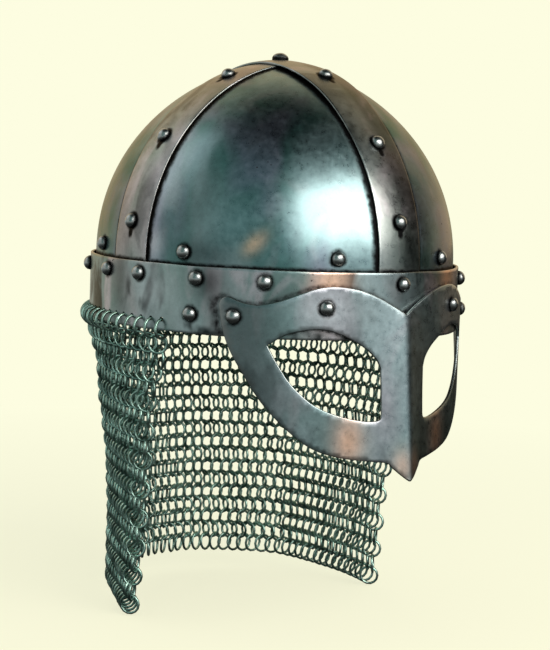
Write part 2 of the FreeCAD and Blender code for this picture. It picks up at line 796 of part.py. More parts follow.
gap_deg = half_gap_deg(hanger_round)
flap_right = curtain(-corner_from_deg + gap_deg, -mail_start_deg).cut(free_edge_tool(-1.0))
flap_left = curtain(mail_start_deg, corner_from_deg - gap_deg).cut(free_edge_tool(1.0))
corner_right = curtain(-corner_to_deg + gap_deg, -corner_from_deg - gap_deg)
corner_left = curtain(corner_from_deg + gap_deg, corner_to_deg - gap_deg)
back = curtain(corner_to_deg + gap_deg, 360.0 - corner_to_deg - gap_deg)
flap_right = open_net(flap_right, net_cutters(-1.0, corner_from_deg, "flap"))
flap_left = open_net(flap_left, net_cutters(1.0, corner_from_deg, "flap"))
corner_right = open_net(corner_right, net_cutters(-1.0, corner_from_deg, "none"))
corner_left = open_net(corner_left, net_cutters(1.0, corner_from_deg, "none"))
back = open_net(back, net_cutters(1.0, corner_to_deg, "back"))
export("mail_flap_right", stretch(biggest(flap_right)))
export("mail_flap_left", stretch(biggest(flap_left)))
export("mail_corner_right", stretch(biggest(corner_right)))
export("mail_corner_left", stretch(biggest(corner_left)))
export("mail_back", stretch(biggest(back)))

# Hinge lines of the three hanging pieces, for reference.
for name, deg in (("flap_right", -(mail_start_deg + corner_from_deg) / 2.0), ("back", 180.0)):
    p = oval(point_at(deg, hanger_round, mail_axis_z))
    print(name, "hinge at", [round(c, 2) for c in p])
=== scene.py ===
import bpy
import math
from mathutils import Matrix, Vector
from mathutils.geometry import delaunay_2d_cdt
from mathutils.kdtree import KDTree


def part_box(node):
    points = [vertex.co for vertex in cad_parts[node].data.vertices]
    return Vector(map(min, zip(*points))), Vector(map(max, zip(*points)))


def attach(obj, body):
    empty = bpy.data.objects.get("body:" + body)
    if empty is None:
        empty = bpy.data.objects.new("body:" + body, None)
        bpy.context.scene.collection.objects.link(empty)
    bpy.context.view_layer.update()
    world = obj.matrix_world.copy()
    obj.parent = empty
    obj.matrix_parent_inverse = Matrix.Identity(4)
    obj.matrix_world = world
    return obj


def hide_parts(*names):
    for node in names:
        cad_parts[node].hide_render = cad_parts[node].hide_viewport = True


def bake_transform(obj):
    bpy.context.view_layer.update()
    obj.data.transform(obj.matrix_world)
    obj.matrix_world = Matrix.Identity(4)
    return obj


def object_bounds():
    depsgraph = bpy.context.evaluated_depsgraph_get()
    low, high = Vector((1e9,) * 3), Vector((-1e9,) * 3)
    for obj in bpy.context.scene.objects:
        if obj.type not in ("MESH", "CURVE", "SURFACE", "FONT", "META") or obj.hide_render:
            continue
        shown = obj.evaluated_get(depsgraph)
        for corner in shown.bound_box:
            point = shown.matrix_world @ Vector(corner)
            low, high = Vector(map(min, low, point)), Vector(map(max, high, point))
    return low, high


# Riveted dome helmet with a spectacle guard and a mail curtain. Metres, in the
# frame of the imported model: +Z is up, -Y is the wearer's front, -X the wearer's
# right, and the origin is the middle of the plane of the brow band's top edge.
# Angles round the helmet are degrees from straight ahead towards the wearer's left.

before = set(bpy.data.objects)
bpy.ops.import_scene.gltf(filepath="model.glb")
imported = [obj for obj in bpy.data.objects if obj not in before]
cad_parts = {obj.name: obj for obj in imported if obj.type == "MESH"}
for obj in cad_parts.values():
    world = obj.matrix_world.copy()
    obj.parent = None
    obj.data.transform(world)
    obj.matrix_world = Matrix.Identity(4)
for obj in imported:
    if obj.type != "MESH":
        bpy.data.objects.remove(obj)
cad_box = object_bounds()
mm = 0.001


# Camera
# It stands a metre off at the wearer's front right, just over the brow, looks at
# the middle of the whole helmet and is turned a little about its line of sight.
camera_azimuth_deg = -38.45
camera_rise_deg = 5.66
camera_roll_deg = 2.11
camera_distance = 1051.3 * mm
camera_target = Vector((2.3, -1.2, -38.7)) * mm
camera_lens_mm = 101.67
camera_sensor_mm = 36.0
camera_clip = (0.05, 50.0)


def direction(deg, rise_deg):
    """The way from the origin to an angle round the helmet and a rise over its level."""
    a = math.radians(deg)
    e = math.radians(rise_deg)
    return Vector((math.sin(a) * math.cos(e), -math.cos(a) * math.cos(e), math.sin(e)))


def in_scene(name, data):
    """A new object of the scene, at the origin."""
    made = bpy.data.objects.new(name, data)
    bpy.context.scene.collection.objects.link(made)
    return made


towards_camera = direction(camera_azimuth_deg, camera_rise_deg)
level = direction(camera_azimuth_deg + 90.0, 0.0)
upright = towards_camera.cross(level)
roll = math.radians(camera_roll_deg)
camera_right = level * math.cos(roll) + upright * math.sin(roll)
camera_up = upright * math.cos(roll) - level * math.sin(roll)
camera = in_scene("camera", bpy.data.cameras.new("camera"))
camera.data.lens = camera_lens_mm
camera.data.sensor_width = camera_sensor_mm
camera.data.clip_start, camera.data.clip_end = camera_clip
facing = Matrix((camera_right, camera_up, towards_camera)).transposed().to_4x4()
camera.matrix_world = Matrix.Translation(camera_target + towards_camera * camera_distance) @ facing
bpy.context.scene.camera = camera


# Dome plates
# Four quarters raised from 1.5 mm mild steel sheet. Two lap over their
# neighbours under the straps, and the other two have a stepped edge that runs
# under. All stop short of the apex.
plate_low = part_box("plate_front_right")[0]
strap_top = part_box("strap_side")[1].z
strap_sheet = 1.2 * mm
plate_sheet = 1.5 * mm
lay_gap = 0.1 * mm
half_width = -plate_low.x
length_ratio = plate_low.y / plate_low.x
dome_rise = strap_top - strap_sheet - lay_gap
dome_fall_power = 2.1
dome_peak_power = 1.78
plate_skirt = -plate_low.z
lap_reach = 4.0 * mm
lap_step = 2.0 * mm
crown_clear = 9.5 * mm
plate_grid = (96, 110)
plate_rounding = 0.3 * mm
normal_step = 0.05 * mm
profile_steps = 64
liner_rivet_rise = 6.6 * mm
liner_rivet_degs = (21.6, 68.4, 108.6, 158.4)
rivet_head_radius = 4.3 * mm
halo_start = 0.95 * rivet_head_radius
halo_end = 1.65 * rivet_head_radius
run_length = 7.0 * mm
run_half = 2.5 * mm
tarnish_patch = 46 * mm
tarnish_mottle = 4 * mm
streak_share = 0.5
hair_share = 0.045
planish_dent = 17 * mm
polish_line = 0.9 * mm
pit_spacing = 2.6 * mm
plate_colours = ("#8da8ad", "#4a7472", "#8d90a4")
# Oxide black, also used for painted shade in corners and at the rivets' feet.
oxide_and_shade_colour = "#141516"
# Pale edge colour, for worn edges that are partly a painted highlight.
rubbed_and_glint_colour = "#b4b8b5"
blotch_dark = "#2f3739"
blotch_pale = "#cbc5cd"
# Pale rubbed colour, which also lays a painted highlight on the guard's arm.
pale_rub_and_glint = "#dfe8ee"
# Straw colour of the warm painted highlights.
painted_glint_colour = "#ffd2b8"
glancing_tint = "#f2e6d4"
blotch_width = 24 * mm
# Reach of the painted contact shade along the straps' edges and the band's top edge:
corner_edge = 14 * mm
corner_start = 0.4 * mm
corner_width = 3.4 * mm

# Soft spots: amount, middle and reach across, middle and reach upwards in mm.
# Across is in degrees from the brow here and on the band, and in mm on the guard.
plate_rubs = (
    (-0.36, 60.0, 9.0, 6.0, 9.0), (-0.16, 63.0, 5.0, 34.0, 26.0), (-0.16, 75.0, 3.0, 21.0, 7.0),
    (0.13, 76.0, 6.0, 44.0, 26.0), (0.16, 79.0, 3.0, 9.0, 7.0),
)
# Warm painted highlights, in the same columns:
plate_painted_glints = ((1.0, 44.0, 2.6, 13.0, 5.5),)
painted_glint_lean = 300.0


def linear(colour):
    """An sRGB hex colour as the linear values that a shader takes."""
    levels = [int(colour[start:start + 2], 16) / 255.0 for start in (1, 3, 5)]
    return (*(v / 12.92 if v <= 0.04045 else ((v + 0.055) / 1.055) ** 2.4 for v in levels), 1.0)


def feed(tree, node, inputs):
    """Fills a node's inputs, each with a value, a hex colour, a socket or a node's first output."""
    for key, value in inputs.items():
        if isinstance(value, bpy.types.Node):
            value = next(socket for socket in value.outputs if socket.enabled)
        if isinstance(value, bpy.types.NodeSocket):
            tree.links.new(value, node.inputs[key])
        elif isinstance(value, str) and value.startswith("#"):
            node.inputs[key].default_value = linear(value)
        else:
            node.inputs[key].default_value = value


def add_node(tree, kind, inputs=(), **settings):
    """Adds a node; its kind goes without ShaderNode, its inputs are a list or named."""
    made = tree.nodes.new(kind if "Node" in kind else "ShaderNode" + kind)
    for key, value in settings.items():
        setattr(made, key, value)
    feed(tree, made, inputs if isinstance(inputs, dict) else dict(enumerate(inputs)))
    return made


def new_material(name):
    """A material, its tree and its place on the piece."""
    material = bpy.data.materials.new(name)
    material.use_nodes = True
    return material, material.node_tree, add_node(material.node_tree, "TexCoord").outputs["Object"]


def new_tree(name, **labels):
    """An empty tree for a piece, with named inputs of each kind and one for its material."""
    tree = bpy.data.node_groups.new(name, "GeometryNodeTree")
    tree.interface.new_socket("Geometry", in_out="OUTPUT", socket_type="NodeSocketGeometry")
    for kind, names in {"Geometry": "Geometry", "Material": "Material", **labels}.items():
        for label in names.split(", "):
            tree.interface.new_socket(label, in_out="INPUT", socket_type="NodeSocket" + kind)
    return tree, tree.nodes.new("NodeGroupInput").outputs


def unit_grid(tree, columns, rows):
    """A flat grid and the places of its points, from -0.5 to 0.5 both ways."""
    grid = add_node(tree, "GeometryNodeMeshGrid", [1.0, 1.0, columns, rows])
    x, y, _ = add_node(tree, "SeparateXYZ", [add_node(tree, "GeometryNodeInputPosition")]).outputs
    return grid, x, y


def close_tree(tree, given, geometry):
    """Ends a tree with real faces, smooth shading and the piece's material."""
    real = add_node(tree, "GeometryNodeRealizeInstances", [geometry])
    smooth = add_node(tree, "GeometryNodeSetShadeSmooth", {"Geometry": real})
    dressed = add_node(tree, "GeometryNodeSetMaterial", {"Geometry": smooth, "Material": given["Material"]})
    add_node(tree, "NodeGroupOutput", [dressed])
    return tree


def bare_piece(name, points=(), faces=()):
    """A new object at the origin with its place in its mesh."""
    mesh = bpy.data.meshes.new(name)
    mesh.from_pydata([tuple(p) for p in points], [], list(faces))
    return in_scene(name, mesh)


def grow(piece, tree, values):
    """Puts a tree on a piece and sets its inputs by their identifiers."""
    grower = piece.modifiers.new("grow", "NODES")
    grower.node_group = tree
    for item in tree.interface.items_tree:
        if item.in_out == "INPUT" and item.name in values:
            grower[item.identifier] = values[item.name]


def round_edges(piece, width, sharp_deg):
    """Rounds the edges of a piece that are sharper than an angle."""
    edge = piece.modifiers.new("edge", "BEVEL")
    edge.width = width
    edge.segments = 2
    edge.limit_method = "ANGLE"
    edge.angle_limit = math.radians(sharp_deg)


def thicken(piece, sheet, rounding):
    """Gives a surface its sheet thickness, inwards, and rounds the sheet's edges."""
    wall = piece.modifiers.new("wall", "SOLIDIFY")
    wall.thickness = sheet
    wall.offset = -1.0
    wall.use_even_offset = True
    round_edges(piece, rounding, 50.0)


def settle(piece, sharp_deg=45.0):
    """Keeps what the modifiers give as a plain mesh and takes them off."""
    bpy.context.view_layer.update()
    graph = bpy.context.evaluated_depsgraph_get()
    mesh = bpy.data.meshes.new_from_object(piece.evaluated_get(graph))
    used = [material for material in mesh.materials if material]
    mesh.materials.clear()
    for material in used:
        mesh.materials.append(material)
    mesh.polygons.foreach_set("material_index", [0] * len(mesh.polygons))
    piece.modifiers.clear()
    piece.data = mesh
    mesh.shade_smooth()
    mesh.set_sharp_from_angle(angle=math.radians(sharp_deg))


def held(value):
    """A value kept from 0 to 1."""
    return min(max(value, 0.0), 1.0)


def dome_radius(z):
    return half_width * (1.0 - held(z / dome_rise) ** dome_fall_power) ** (1.0 / dome_peak_power)


def dome_normal(z):
    """Outward normal of the dome's profile, as (radial, vertical)."""
    if z <= 0.0:
        return 1.0, 0.0
    low = max(z - normal_step, 0.0)
    high = min(z + normal_step, dome_rise)
    return Vector((high - low, dome_radius(low) - dome_radius(high))).normalized()


def seat(deg, z, offset):
    """Place and outward normal on the sheets, offset from the plates' outer face."""
    a = math.radians(deg)
    nr, nz = dome_normal(z)
    r = dome_radius(z) + offset * nr
    place = Vector((r * math.sin(a), -r * math.cos(a) * length_ratio, z + offset * nz))
    return place, Vector((nr * math.sin(a), -nr * math.cos(a) / length_ratio, nz)).normalized()


def both_sides(degs):
    return [*degs, *(-d for d in degs if 0.0 < d < 180.0)]


def mark(piece, name, share_at):
    """Keeps one share from 0 to 1 for each vertex, for the material to read."""
    field = piece.data.attributes.new(name, "FLOAT", "POINT")
    field.data.foreach_set("value", [share_at(v.co) for v in piece.data.vertices])


def stain_share(point, seats, run_amount):
    """How black a point is from the oxide round a rivet and the run under it."""
    darkest = 0.0
    for place, normal in seats:
        gap = point - place
        if gap.length > halo_end + run_length:
            continue
        halo = held((halo_end - gap.length) / (halo_end - halo_start)) * (0.7 + 0.2 * run_amount)
        down = Vector((0, 0, -1)) - normal * -normal.z
        down = down.normalized() if down.length > 0.2 else Vector((0, -1, 0))
        fall = gap.dot(down) / (rivet_head_radius + run_length)
        across = abs(gap.dot(down.cross(normal))) / run_half
        run = run_amount * held(1.3 - across) * held(2.6 * (1.0 - fall)) if fall > 0.0 else 0.0
        darkest = max(darkest, halo, run)
    return darkest


def brow_deg(point):
    """Degrees from straight ahead, the same on both sides."""
    return math.degrees(math.atan2(abs(point.x), -point.y))


def spot_share(spots, across, z):
    """The sum of a table's soft spots at a place."""
    share = 0.0
    for amount, middle, reach, height, tall in spots:
        share += amount * math.exp(-((across - middle) / reach) ** 2 - ((z / mm - height) / tall) ** 2)
    return share


def darkened_steel(name, colours, worn_and_glinting_edges=0.0, dents=1.0, blotch=0.0, corners=(0.0, 0.0), specks=0.0):
    """Mild steel sheet, planished, blacked in oil and rubbed bright again.

    The eye gets a satin mirror that wanders between green, grey and lilac, with
    planishing dents, hair scratches, pits and black oxide where rubbing missed.
    Its two corners are the lines along the straps' edges and the band's top edge, which painted shade
    darkens. Its edges are lighter, partly worn and partly a painted highlight, and a few spots are painted
    highlights and painted shade.
    """
    material, tree, place = new_material(name)
    colour, green, lilac = colours
    # Oil ran down while it was hot, so the patches are taller than wide. Hair
    # scratches run mostly one way, as the polishing cloth did.
    streaky, combed = (
        add_node(tree, "Mapping", {"Vector": place, "Scale": (1.0, 1.0, share)})
        for share in (streak_share, hair_share)
    )
    patches, warm, spread, mottle, hairs, hollows = (
        add_node(tree, "TexNoise", {
            "Vector": where, "Scale": 1.0 / width, "Detail": detail, "Roughness": rough, "Distortion": bent,
        })
        for where, width, detail, rough, bent in (
            (streaky, tarnish_patch, 2.5, 0.5, 0.3),
            (streaky, tarnish_patch / 1.2, 2.0, 0.5, 0.3),
            (streaky, blotch_width, 3.0, 0.5, 0.7),
            (place, tarnish_mottle, 6.0, 0.72, 0.0),
            (combed, polish_line, 3.0, 0.7, 0.0),
            (place, planish_dent, 1.0, 0.4, 0.0),
        )
    )
    rub_and_painted_light, painted_glint, stain_and_shade, rim = (
        add_node(tree, "Attribute", attribute_name=label).outputs["Fac"]
        for label in ("rub_and_painted_light", "painted_glint", "stain_and_shade", "rim")
    )
    # Patches of tarnish, then blotches as wide as a thumb, where hands and oil have changed the blacking.
    # Some places are rubbed brighter than the rest; on the guard's arm one is a painted highlight.
    for value, start, end, most, way, laid in (
        (patches, 0.40, 0.62, 1.0, "SMOOTHSTEP", green),
        (warm, 0.50, 0.66, 0.8, "LINEAR", lilac),
        (spread, 0.48, 0.34, blotch, "SMOOTHSTEP", blotch_dark),
        (spread, 0.52, 0.68, blotch, "SMOOTHSTEP", blotch_pale),
        (rub_and_painted_light, 0.5, 1.0, 1.0, "LINEAR", pale_rub_and_glint),
    ):
        share = add_node(tree, "MapRange", [value, start, end, 0.0, most], interpolation_type=way)
        colour = add_node(tree, "Mix", {0: share, 6: colour, 7: laid}, data_type="RGBA")
    # A few warm spots are painted highlights, in a straw colour.
    colour = add_node(tree, "Mix", {0: painted_glint, 6: colour, 7: painted_glint_colour}, data_type="RGBA")
    # Pits gather in patches, so a wide noise lets them through.
    cells = add_node(tree, "TexVoronoi", {"Vector": place, "Scale": 1.0 / pit_spacing})
    x, y, z = add_node(tree, "SeparateXYZ", [place]).outputs
    from_mid = [add_node(tree, "Math", [side], operation="ABSOLUTE") for side in (x, y)]
    nearer = add_node(tree, "Math", from_mid, operation="MINIMUM")
    # Painted contact shade, with some blacking, darkens the corners along the straps and the band.
    lightness, grain, scratch, dot, allowed, by_strap, by_band, dull = (
        add_node(tree, "MapRange", row) for row in (
            (rub_and_painted_light, 0.0, 0.5, 0.25, 1.0),
            (mottle, 0.3, 0.7, 0.80, 1.14),
            (hairs, 0.60, 0.72),
            (cells, 0.10, 0.22, 1.0, 0.0),
            (warm, 0.62 - specks, 0.66 - specks),
            (nearer, corner_edge + corner_start, corner_edge + 1.8 * corner_width, corners[0], 0.0),
            (z, corner_start, corner_width, corners[1], 0.0),
            (mottle, 0.3, 0.75, 0.25, 0.38),
        )
    )
    # Low rub values darken the steel; on the upper strap's brow arm and the guard's ends this is painted
    # shade.
    tone = add_node(tree, "Math", [lightness, grain], operation="MULTIPLY")
    colour = add_node(tree, "VectorMath", [colour, tone], operation="MULTIPLY")
    chance = add_node(tree, "SeparateXYZ", [cells.outputs["Color"]])
    chosen = add_node(tree, "Math", [chance, 0.6], operation="GREATER_THAN")
    pits = add_node(tree, "Math", [dot, allowed], operation="MULTIPLY")
    pits = add_node(tree, "Math", [pits, chosen], operation="MULTIPLY")
    corner = add_node(tree, "Math", [by_strap, by_band], operation="MAXIMUM")
    black = add_node(tree, "Math", [corner, stain_and_shade], operation="MAXIMUM")
    ragged = add_node(tree, "Math", [mottle, 0.45], operation="SUBTRACT")
    frayed = add_node(tree, "Math", [ragged, 0.8, black], operation="MULTIPLY_ADD")
    blackened_and_shaded = add_node(tree, "MapRange", [frayed, 0.29, 0.85], interpolation_type="SMOOTHSTEP")
    # This oxide share holds the real pits and stains, and also the painted corner shade and the painted
    # shadow along the guard.
    oxide = add_node(tree, "Math", [blackened_and_shaded, pits], operation="MAXIMUM")
    # Edges are lightened, partly as worn steel and partly as a painted highlight.
    worn = add_node(tree, "Math", [rim, worn_and_glinting_edges], operation="MULTIPLY")
    for share, laid in ((oxide, oxide_and_shade_colour), (worn, rubbed_and_glint_colour)):
        colour = add_node(tree, "Mix", {0: share, 6: colour, 7: laid}, data_type="RGBA")
    scratched = add_node(tree, "Math", [scratch, 0.06, dull], operation="MULTIPLY_ADD")
    rough = add_node(tree, "Math", [oxide, 0.25, scratched], operation="MULTIPLY_ADD")
    normal = add_node(
        tree, "Bump", {"Height": hollows, "Strength": 0.35 * dents, "Distance": 0.6 * mm}
    )
    for height, strength, depth in ((oxide, 0.25, 0.06 * mm), (scratch, 0.15, 0.02 * mm)):
        normal = add_node(
            tree, "Bump", {"Height": height, "Strength": strength, "Distance": depth, "Normal": normal},
            invert=True,
        )
    feed(tree, tree.nodes["Principled BSDF"], {
        "Base Color": colour, "Metallic": 1.0, "Specular Tint": glancing_tint, "Roughness": rough,
        "Normal": normal,
    })
    return material


def profile_curve():
    """Half section of the dome's outer face, from the skirt's edge to the crown hole."""
    top = (1.0 - (crown_clear / half_width) ** dome_peak_power) ** (1.0 / dome_fall_power)
    sweep = math.asin(top)
    heights = [-plate_skirt, -plate_skirt / 2.0]
    heights += [dome_rise * math.sin(sweep * i / profile_steps) for i in range(profile_steps + 1)]
    curve = bpy.data.curves.new("plate_profile", "CURVE")
    curve.dimensions = "3D"
    line = curve.splines.new("POLY")
    line.points.add(len(heights) - 1)
    for point, z in zip(line.points, heights):
        point.co = (dome_radius(z), 0.0, z, 1.0)
    return bpy.data.objects.new("plate_profile", curve)


def plate_tree():
    """A quarter of the dome: the profile swept round between two lapped edges."""
    tree, given = new_tree(
        "dome_plate", Object="Profile", Int="Columns, Rows", Vector="Side", Bool="Turn Faces",
        Float="Length Ratio, Lap Reach, Lap Step, Lap Depth",
    )
    ratio, lap = given["Length Ratio"], given["Lap Reach"]
    grid, x, y = unit_grid(tree, given["Columns"], given["Rows"])
    round_share, rise_share = (add_node(tree, "Math", [way, 0.5], operation="ADD") for way in (x, y))
    profile = add_node(tree, "GeometryNodeObjectInfo", {"Object": given["Profile"]}).outputs["Geometry"]
    along = add_node(
        tree, "GeometryNodeSampleCurve", {"Curves": profile, "Factor": rise_share}, mode="FACTOR"
    )
    radius, _, z = add_node(tree, "SeparateXYZ", [along.outputs["Position"]]).outputs
    way_x, _, way_z = add_node(tree, "SeparateXYZ", [along.outputs["Tangent"]]).outputs
    lap_x = add_node(tree, "Math", [lap, radius], operation="DIVIDE")
    lap_y = add_node(tree, "Math", [lap_x, ratio], operation="DIVIDE")
    past_x, past_y = (add_node(tree, "Math", [part], operation="ARCSINE") for part in (lap_x, lap_y))
    first = add_node(tree, "Math", [0.0, past_x], operation="SUBTRACT")
    last = add_node(tree, "Math", [past_y, math.pi / 2.0], operation="ADD")
    angle = add_node(tree, "MapRange", [round_share, 0.0, 1.0, first, last])
    sine, cosine = (add_node(tree, "Math", [angle], operation=way) for way in ("SINE", "COSINE"))
    ahead = add_node(tree, "Math", [cosine, ratio], operation="MULTIPLY")
    nearer = add_node(tree, "Math", [sine, ahead], operation="MINIMUM")
    inside = add_node(tree, "Math", [nearer, radius], operation="MULTIPLY")
    step_end = add_node(tree, "Math", [lap, given["Lap Step"]], operation="ADD")
    under = add_node(tree, "Math", [given["Lap Depth"], -1.0], operation="MULTIPLY")
    sink = add_node(
        tree, "MapRange", [inside, lap, step_end, under, 0.0], interpolation_type="SMOOTHSTEP"
    )
    # The profile's tangent runs upwards, so its outward normal is (tangent z, -tangent x).
    pushed = add_node(tree, "Math", [sink, way_z, radius], operation="MULTIPLY_ADD")
    fallen = add_node(tree, "Math", [sink, way_x], operation="MULTIPLY")
    height = add_node(tree, "Math", [z, fallen], operation="SUBTRACT")
    x, y = (add_node(tree, "Math", [pushed, way], operation="MULTIPLY") for way in (sine, ahead))
    quarter = add_node(tree, "CombineXYZ", [x, y, height])
    turned = add_node(tree, "VectorMath", [quarter, given["Side"]], operation="MULTIPLY")
    laid = add_node(tree, "GeometryNodeSetPosition", {"Geometry": grid, "Position": turned})
    return close_tree(tree, given, add_node(tree, "GeometryNodeFlipFaces", [laid, given["Turn Faces"]]))


liner_seats = [seat(deg, liner_rivet_rise, 0.0) for deg in both_sides(liner_rivet_degs)]
plate_steel = darkened_steel(
    "blacked_mild_steel_plate", plate_colours, blotch=0.15, corners=(0.95, 0.75), specks=-0.04
)
plate_profile = profile_curve()
quarter_tree = plate_tree()
for name, side_x, side_y, depth in (
    ("front_right", -1.0, -1.0, 0.0),
    ("back_left", 1.0, 1.0, 0.0),
    ("front_left", 1.0, -1.0, plate_sheet + lay_gap),
    ("back_right", -1.0, 1.0, plate_sheet + lay_gap),
):
    plate = bare_piece("dome_plate_" + name)
    grow(plate, quarter_tree, {
        "Profile": plate_profile, "Columns": plate_grid[0], "Rows": plate_grid[1],
        "Length Ratio": length_ratio, "Lap Reach": lap_reach, "Lap Step": lap_step,
        "Lap Depth": depth, "Side": (side_x, side_y, 1.0), "Turn Faces": side_x * side_y > 0.0,
        "Material": plate_steel,
    })
    thicken(plate, plate_sheet, plate_rounding)
    settle(plate)
    near = [s for s in liner_seats if s[0].x * side_x > 0.0 and s[0].y * side_y > 0.0]
    mark(plate, "stain_and_shade", lambda p: stain_share(p, near, 0.0))
    mark(plate, "rim", lambda p: 0.0)
    mark(plate, "rub_and_painted_light", lambda p: 0.5 + spot_share(plate_rubs, brow_deg(p), p.z))
    mark(plate, "painted_glint", lambda p: spot_share(
        plate_painted_glints, brow_deg(p) + painted_glint_lean * (p.z - plate_painted_glints[0][3] * mm), p.z
    ))
    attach(plate, "helmet")
    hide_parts("plate_" + name)


# Straps
# Two 28 mm bands of 1.2 mm steel cross at the apex and cover the plates' laps.
# The front-to-back one runs over the other, and both go down behind the brow
# band. Three rivets hold each arm.
half_strap = 14.0 * mm
strap_tuck = 22.0 * mm
strap_in = lay_gap
lift_in = strap_sheet + 2.0 * lay_gap
strap_lift_from = 72.0 * mm
strap_lift_to = 100.0 * mm
strap_rivet_heights = (66.0 * mm, 100.0 * mm)
strap_rivet_front_low = 25.5 * mm
strap_rivet_side_low = 20.5 * mm
strap_rub_and_glint_width = 0.36 * mm
strap_stations = 128
strap_columns = 22
skirt_share = strap_tuck / (strap_tuck + 1.35 * dome_rise)
strap_sink_most = 6.0 * mm
strap_sink_halvings = 18
strap_rounding = 0.35 * mm
# Painted shade across the upper strap's brow arm, deepening towards the wearer's left edge:
brow_arm_shade_from = -2.0 * mm
brow_arm_shade_width = 6.0 * mm


def lift_share(z):
    """How much of its lift over the lower strap the upper strap has at a height."""
    w = held((z - strap_lift_from) / (strap_lift_to - strap_lift_from))
    return w * w * (3.0 - 2.0 * w)


def under_dome(ahead, across, z):
    """Whether a point of the round form lies inside the dome's outer face."""
    r = math.hypot(ahead, across)
    return r < half_width if z <= 0.0 else z < dome_rise and r < dome_radius(z)


def strap_point(share, across, offset, lift):
    """Point of a strap of the round form: share runs 0 to 1 from the tuck to the apex."""
    if share < skirt_share:
        z = -strap_tuck * (1.0 - share / skirt_share)
        r, nr, nz = half_width, 1.0, 0.0
    else:
        z = dome_rise * math.sin((share - skirt_share) / (1.0 - skirt_share) * math.pi / 2.0)
        r = dome_radius(z)
        nr, nz = (0.0, 1.0) if share > 0.9999 else dome_normal(z)
    shallow, deep = 0.0, strap_sink_most
    for _ in range(strap_sink_halvings):
        middle = (shallow + deep) / 2.0
        if under_dome(r - middle * nr, across, z - middle * nz):
            deep = middle
        else:
            shallow = middle
    out = offset + lift * lift_share(z)
    stand = out - deep
    return Vector((r + stand * nr, across + out * across / half_width, z + stand * nz))


def strip_faces(start, rows, columns):
    """Faces of a strip of points, which lie in rows one longer than its columns."""
    row = columns + 1
    first = [start + i * row + j for i in range(rows) for j in range(columns)]
    return [(a, a + 1, a + row + 1, a + row) for a in first]


def strap_surface(name, turn, lift):
    """The outer face of a whole strap, over the crown from one tuck to the other."""
    points = []
    for i in range(2 * strap_stations + 1):
        share = i / strap_stations if i <= strap_stations else 2.0 - i / strap_stations
        way = 1.0 if i <= strap_stations else -1.0
        for j in range(strap_columns + 1):
            across = half_strap * (2.0 * j / strap_columns - 1.0)
            p = strap_point(
                share, across / length_ratio if turn else across, strap_in + strap_sheet, lift
            )
            if turn:
                points.append((way * p.x, p.y * length_ratio, p.z))
            else:
                points.append((p.y, -way * p.x * length_ratio, p.z))
    return bare_piece(name, points, strip_faces(0, 2 * strap_stations, strap_columns))


def edge_share(from_edge, width):
    """1 on an edge, falling to 0 at this width from it."""
    return held(1.0 - from_edge / width)


strap_steel = darkened_steel(
    "blacked_mild_steel_strap", ("#a3abab", "#86938f", "#a39da2"), worn_and_glinting_edges=0.2, dents=0.4,
    blotch=0.5, corners=(0.0, 0.8), specks=-0.1,
)
strap_seats = []
for deg, low, lift in (
    (0.0, strap_rivet_front_low, lift_in), (180.0, strap_rivet_front_low, lift_in),
    (90.0, strap_rivet_side_low, 0.0), (-90.0, strap_rivet_side_low, 0.0),
):
    for z in (low, *strap_rivet_heights):
        strap_seats.append(seat(deg, z, strap_in + strap_sheet + lift * lift_share(z)))
for name, turn, lift in (("side", True, 0.0), ("front_back", False, lift_in)):
    strap = strap_surface("strap_" + name + "_sheet", turn, lift)
    strap.data.materials.append(strap_steel)
    thicken(strap, strap_sheet, strap_rounding)
    settle(strap)
    near = [s for s in strap_seats if abs(s[0].y if turn else s[0].x) < half_strap]
    mark(strap, "stain_and_shade", lambda p: stain_share(p, near, 1.0))
    mark(strap, "rim", lambda p: edge_share(half_strap - abs(p.y if turn else p.x), strap_rub_and_glint_width))
    # both arms are a little darker, and painted shade deepens across the brow arm towards the wearer's left
    # edge
    mark(strap, "rub_and_painted_light", lambda p: 0.5 if turn else 0.44 - 0.3 * (
        0.0 if p.y > 0.0 else held((p.x - brow_arm_shade_from) / brow_arm_shade_width)
    ))
    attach(strap, "helmet")
    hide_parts("strap_" + name)


# Brow band
# One 35 mm strip of 1.5 mm steel bent to the oval and riveted through plates
# and straps. A row of drilled holes over its lower edge carries the mail.
band_height = -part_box("brow_band")[0].z
band_sheet = 1.5 * mm
band_grid = (433, 24)
band_rounding = 0.4 * mm
filing_depth = 0.7 * mm
band_in = strap_in + strap_sheet + lay_gap
band_out = band_in + band_sheet
band_rivet_drop = 6.3 * mm
band_rivet_degs = (0.0, 43.0, 63.2, 83.8, 100.0, 123.0, 151.0, 180.0)
side_rivet_drop = 25.3 * mm
side_rivet_deg = 64.8
ring_columns = 54
mail_start_deg = 74.5
ring_hole_radius = 1.25 * mm
ring_hole_rise = 6.0 * mm
drill_length = 6.0 * mm
hanger_round = half_width + band_in + band_sheet / 2.0
filing_waves_per_metre = 35.0
weld_reach = 1e-6
band_rub_and_glint_width = 0.42 * mm
band_rubs = (
    (0.15, 76.0, 8.0, -14.0, 12.0), (-0.5, 57.0, 5.0, -8.0, 11.0),
    (-0.22, 35.0, 6.0, -16.0, 9.0), (-0.3, 93.0, 4.0, -10.0, 30.0),
)
# Warm painted highlight on the band:
band_painted_glints = ((1.0, 22.0, 5.0, -6.0, 14.0),)


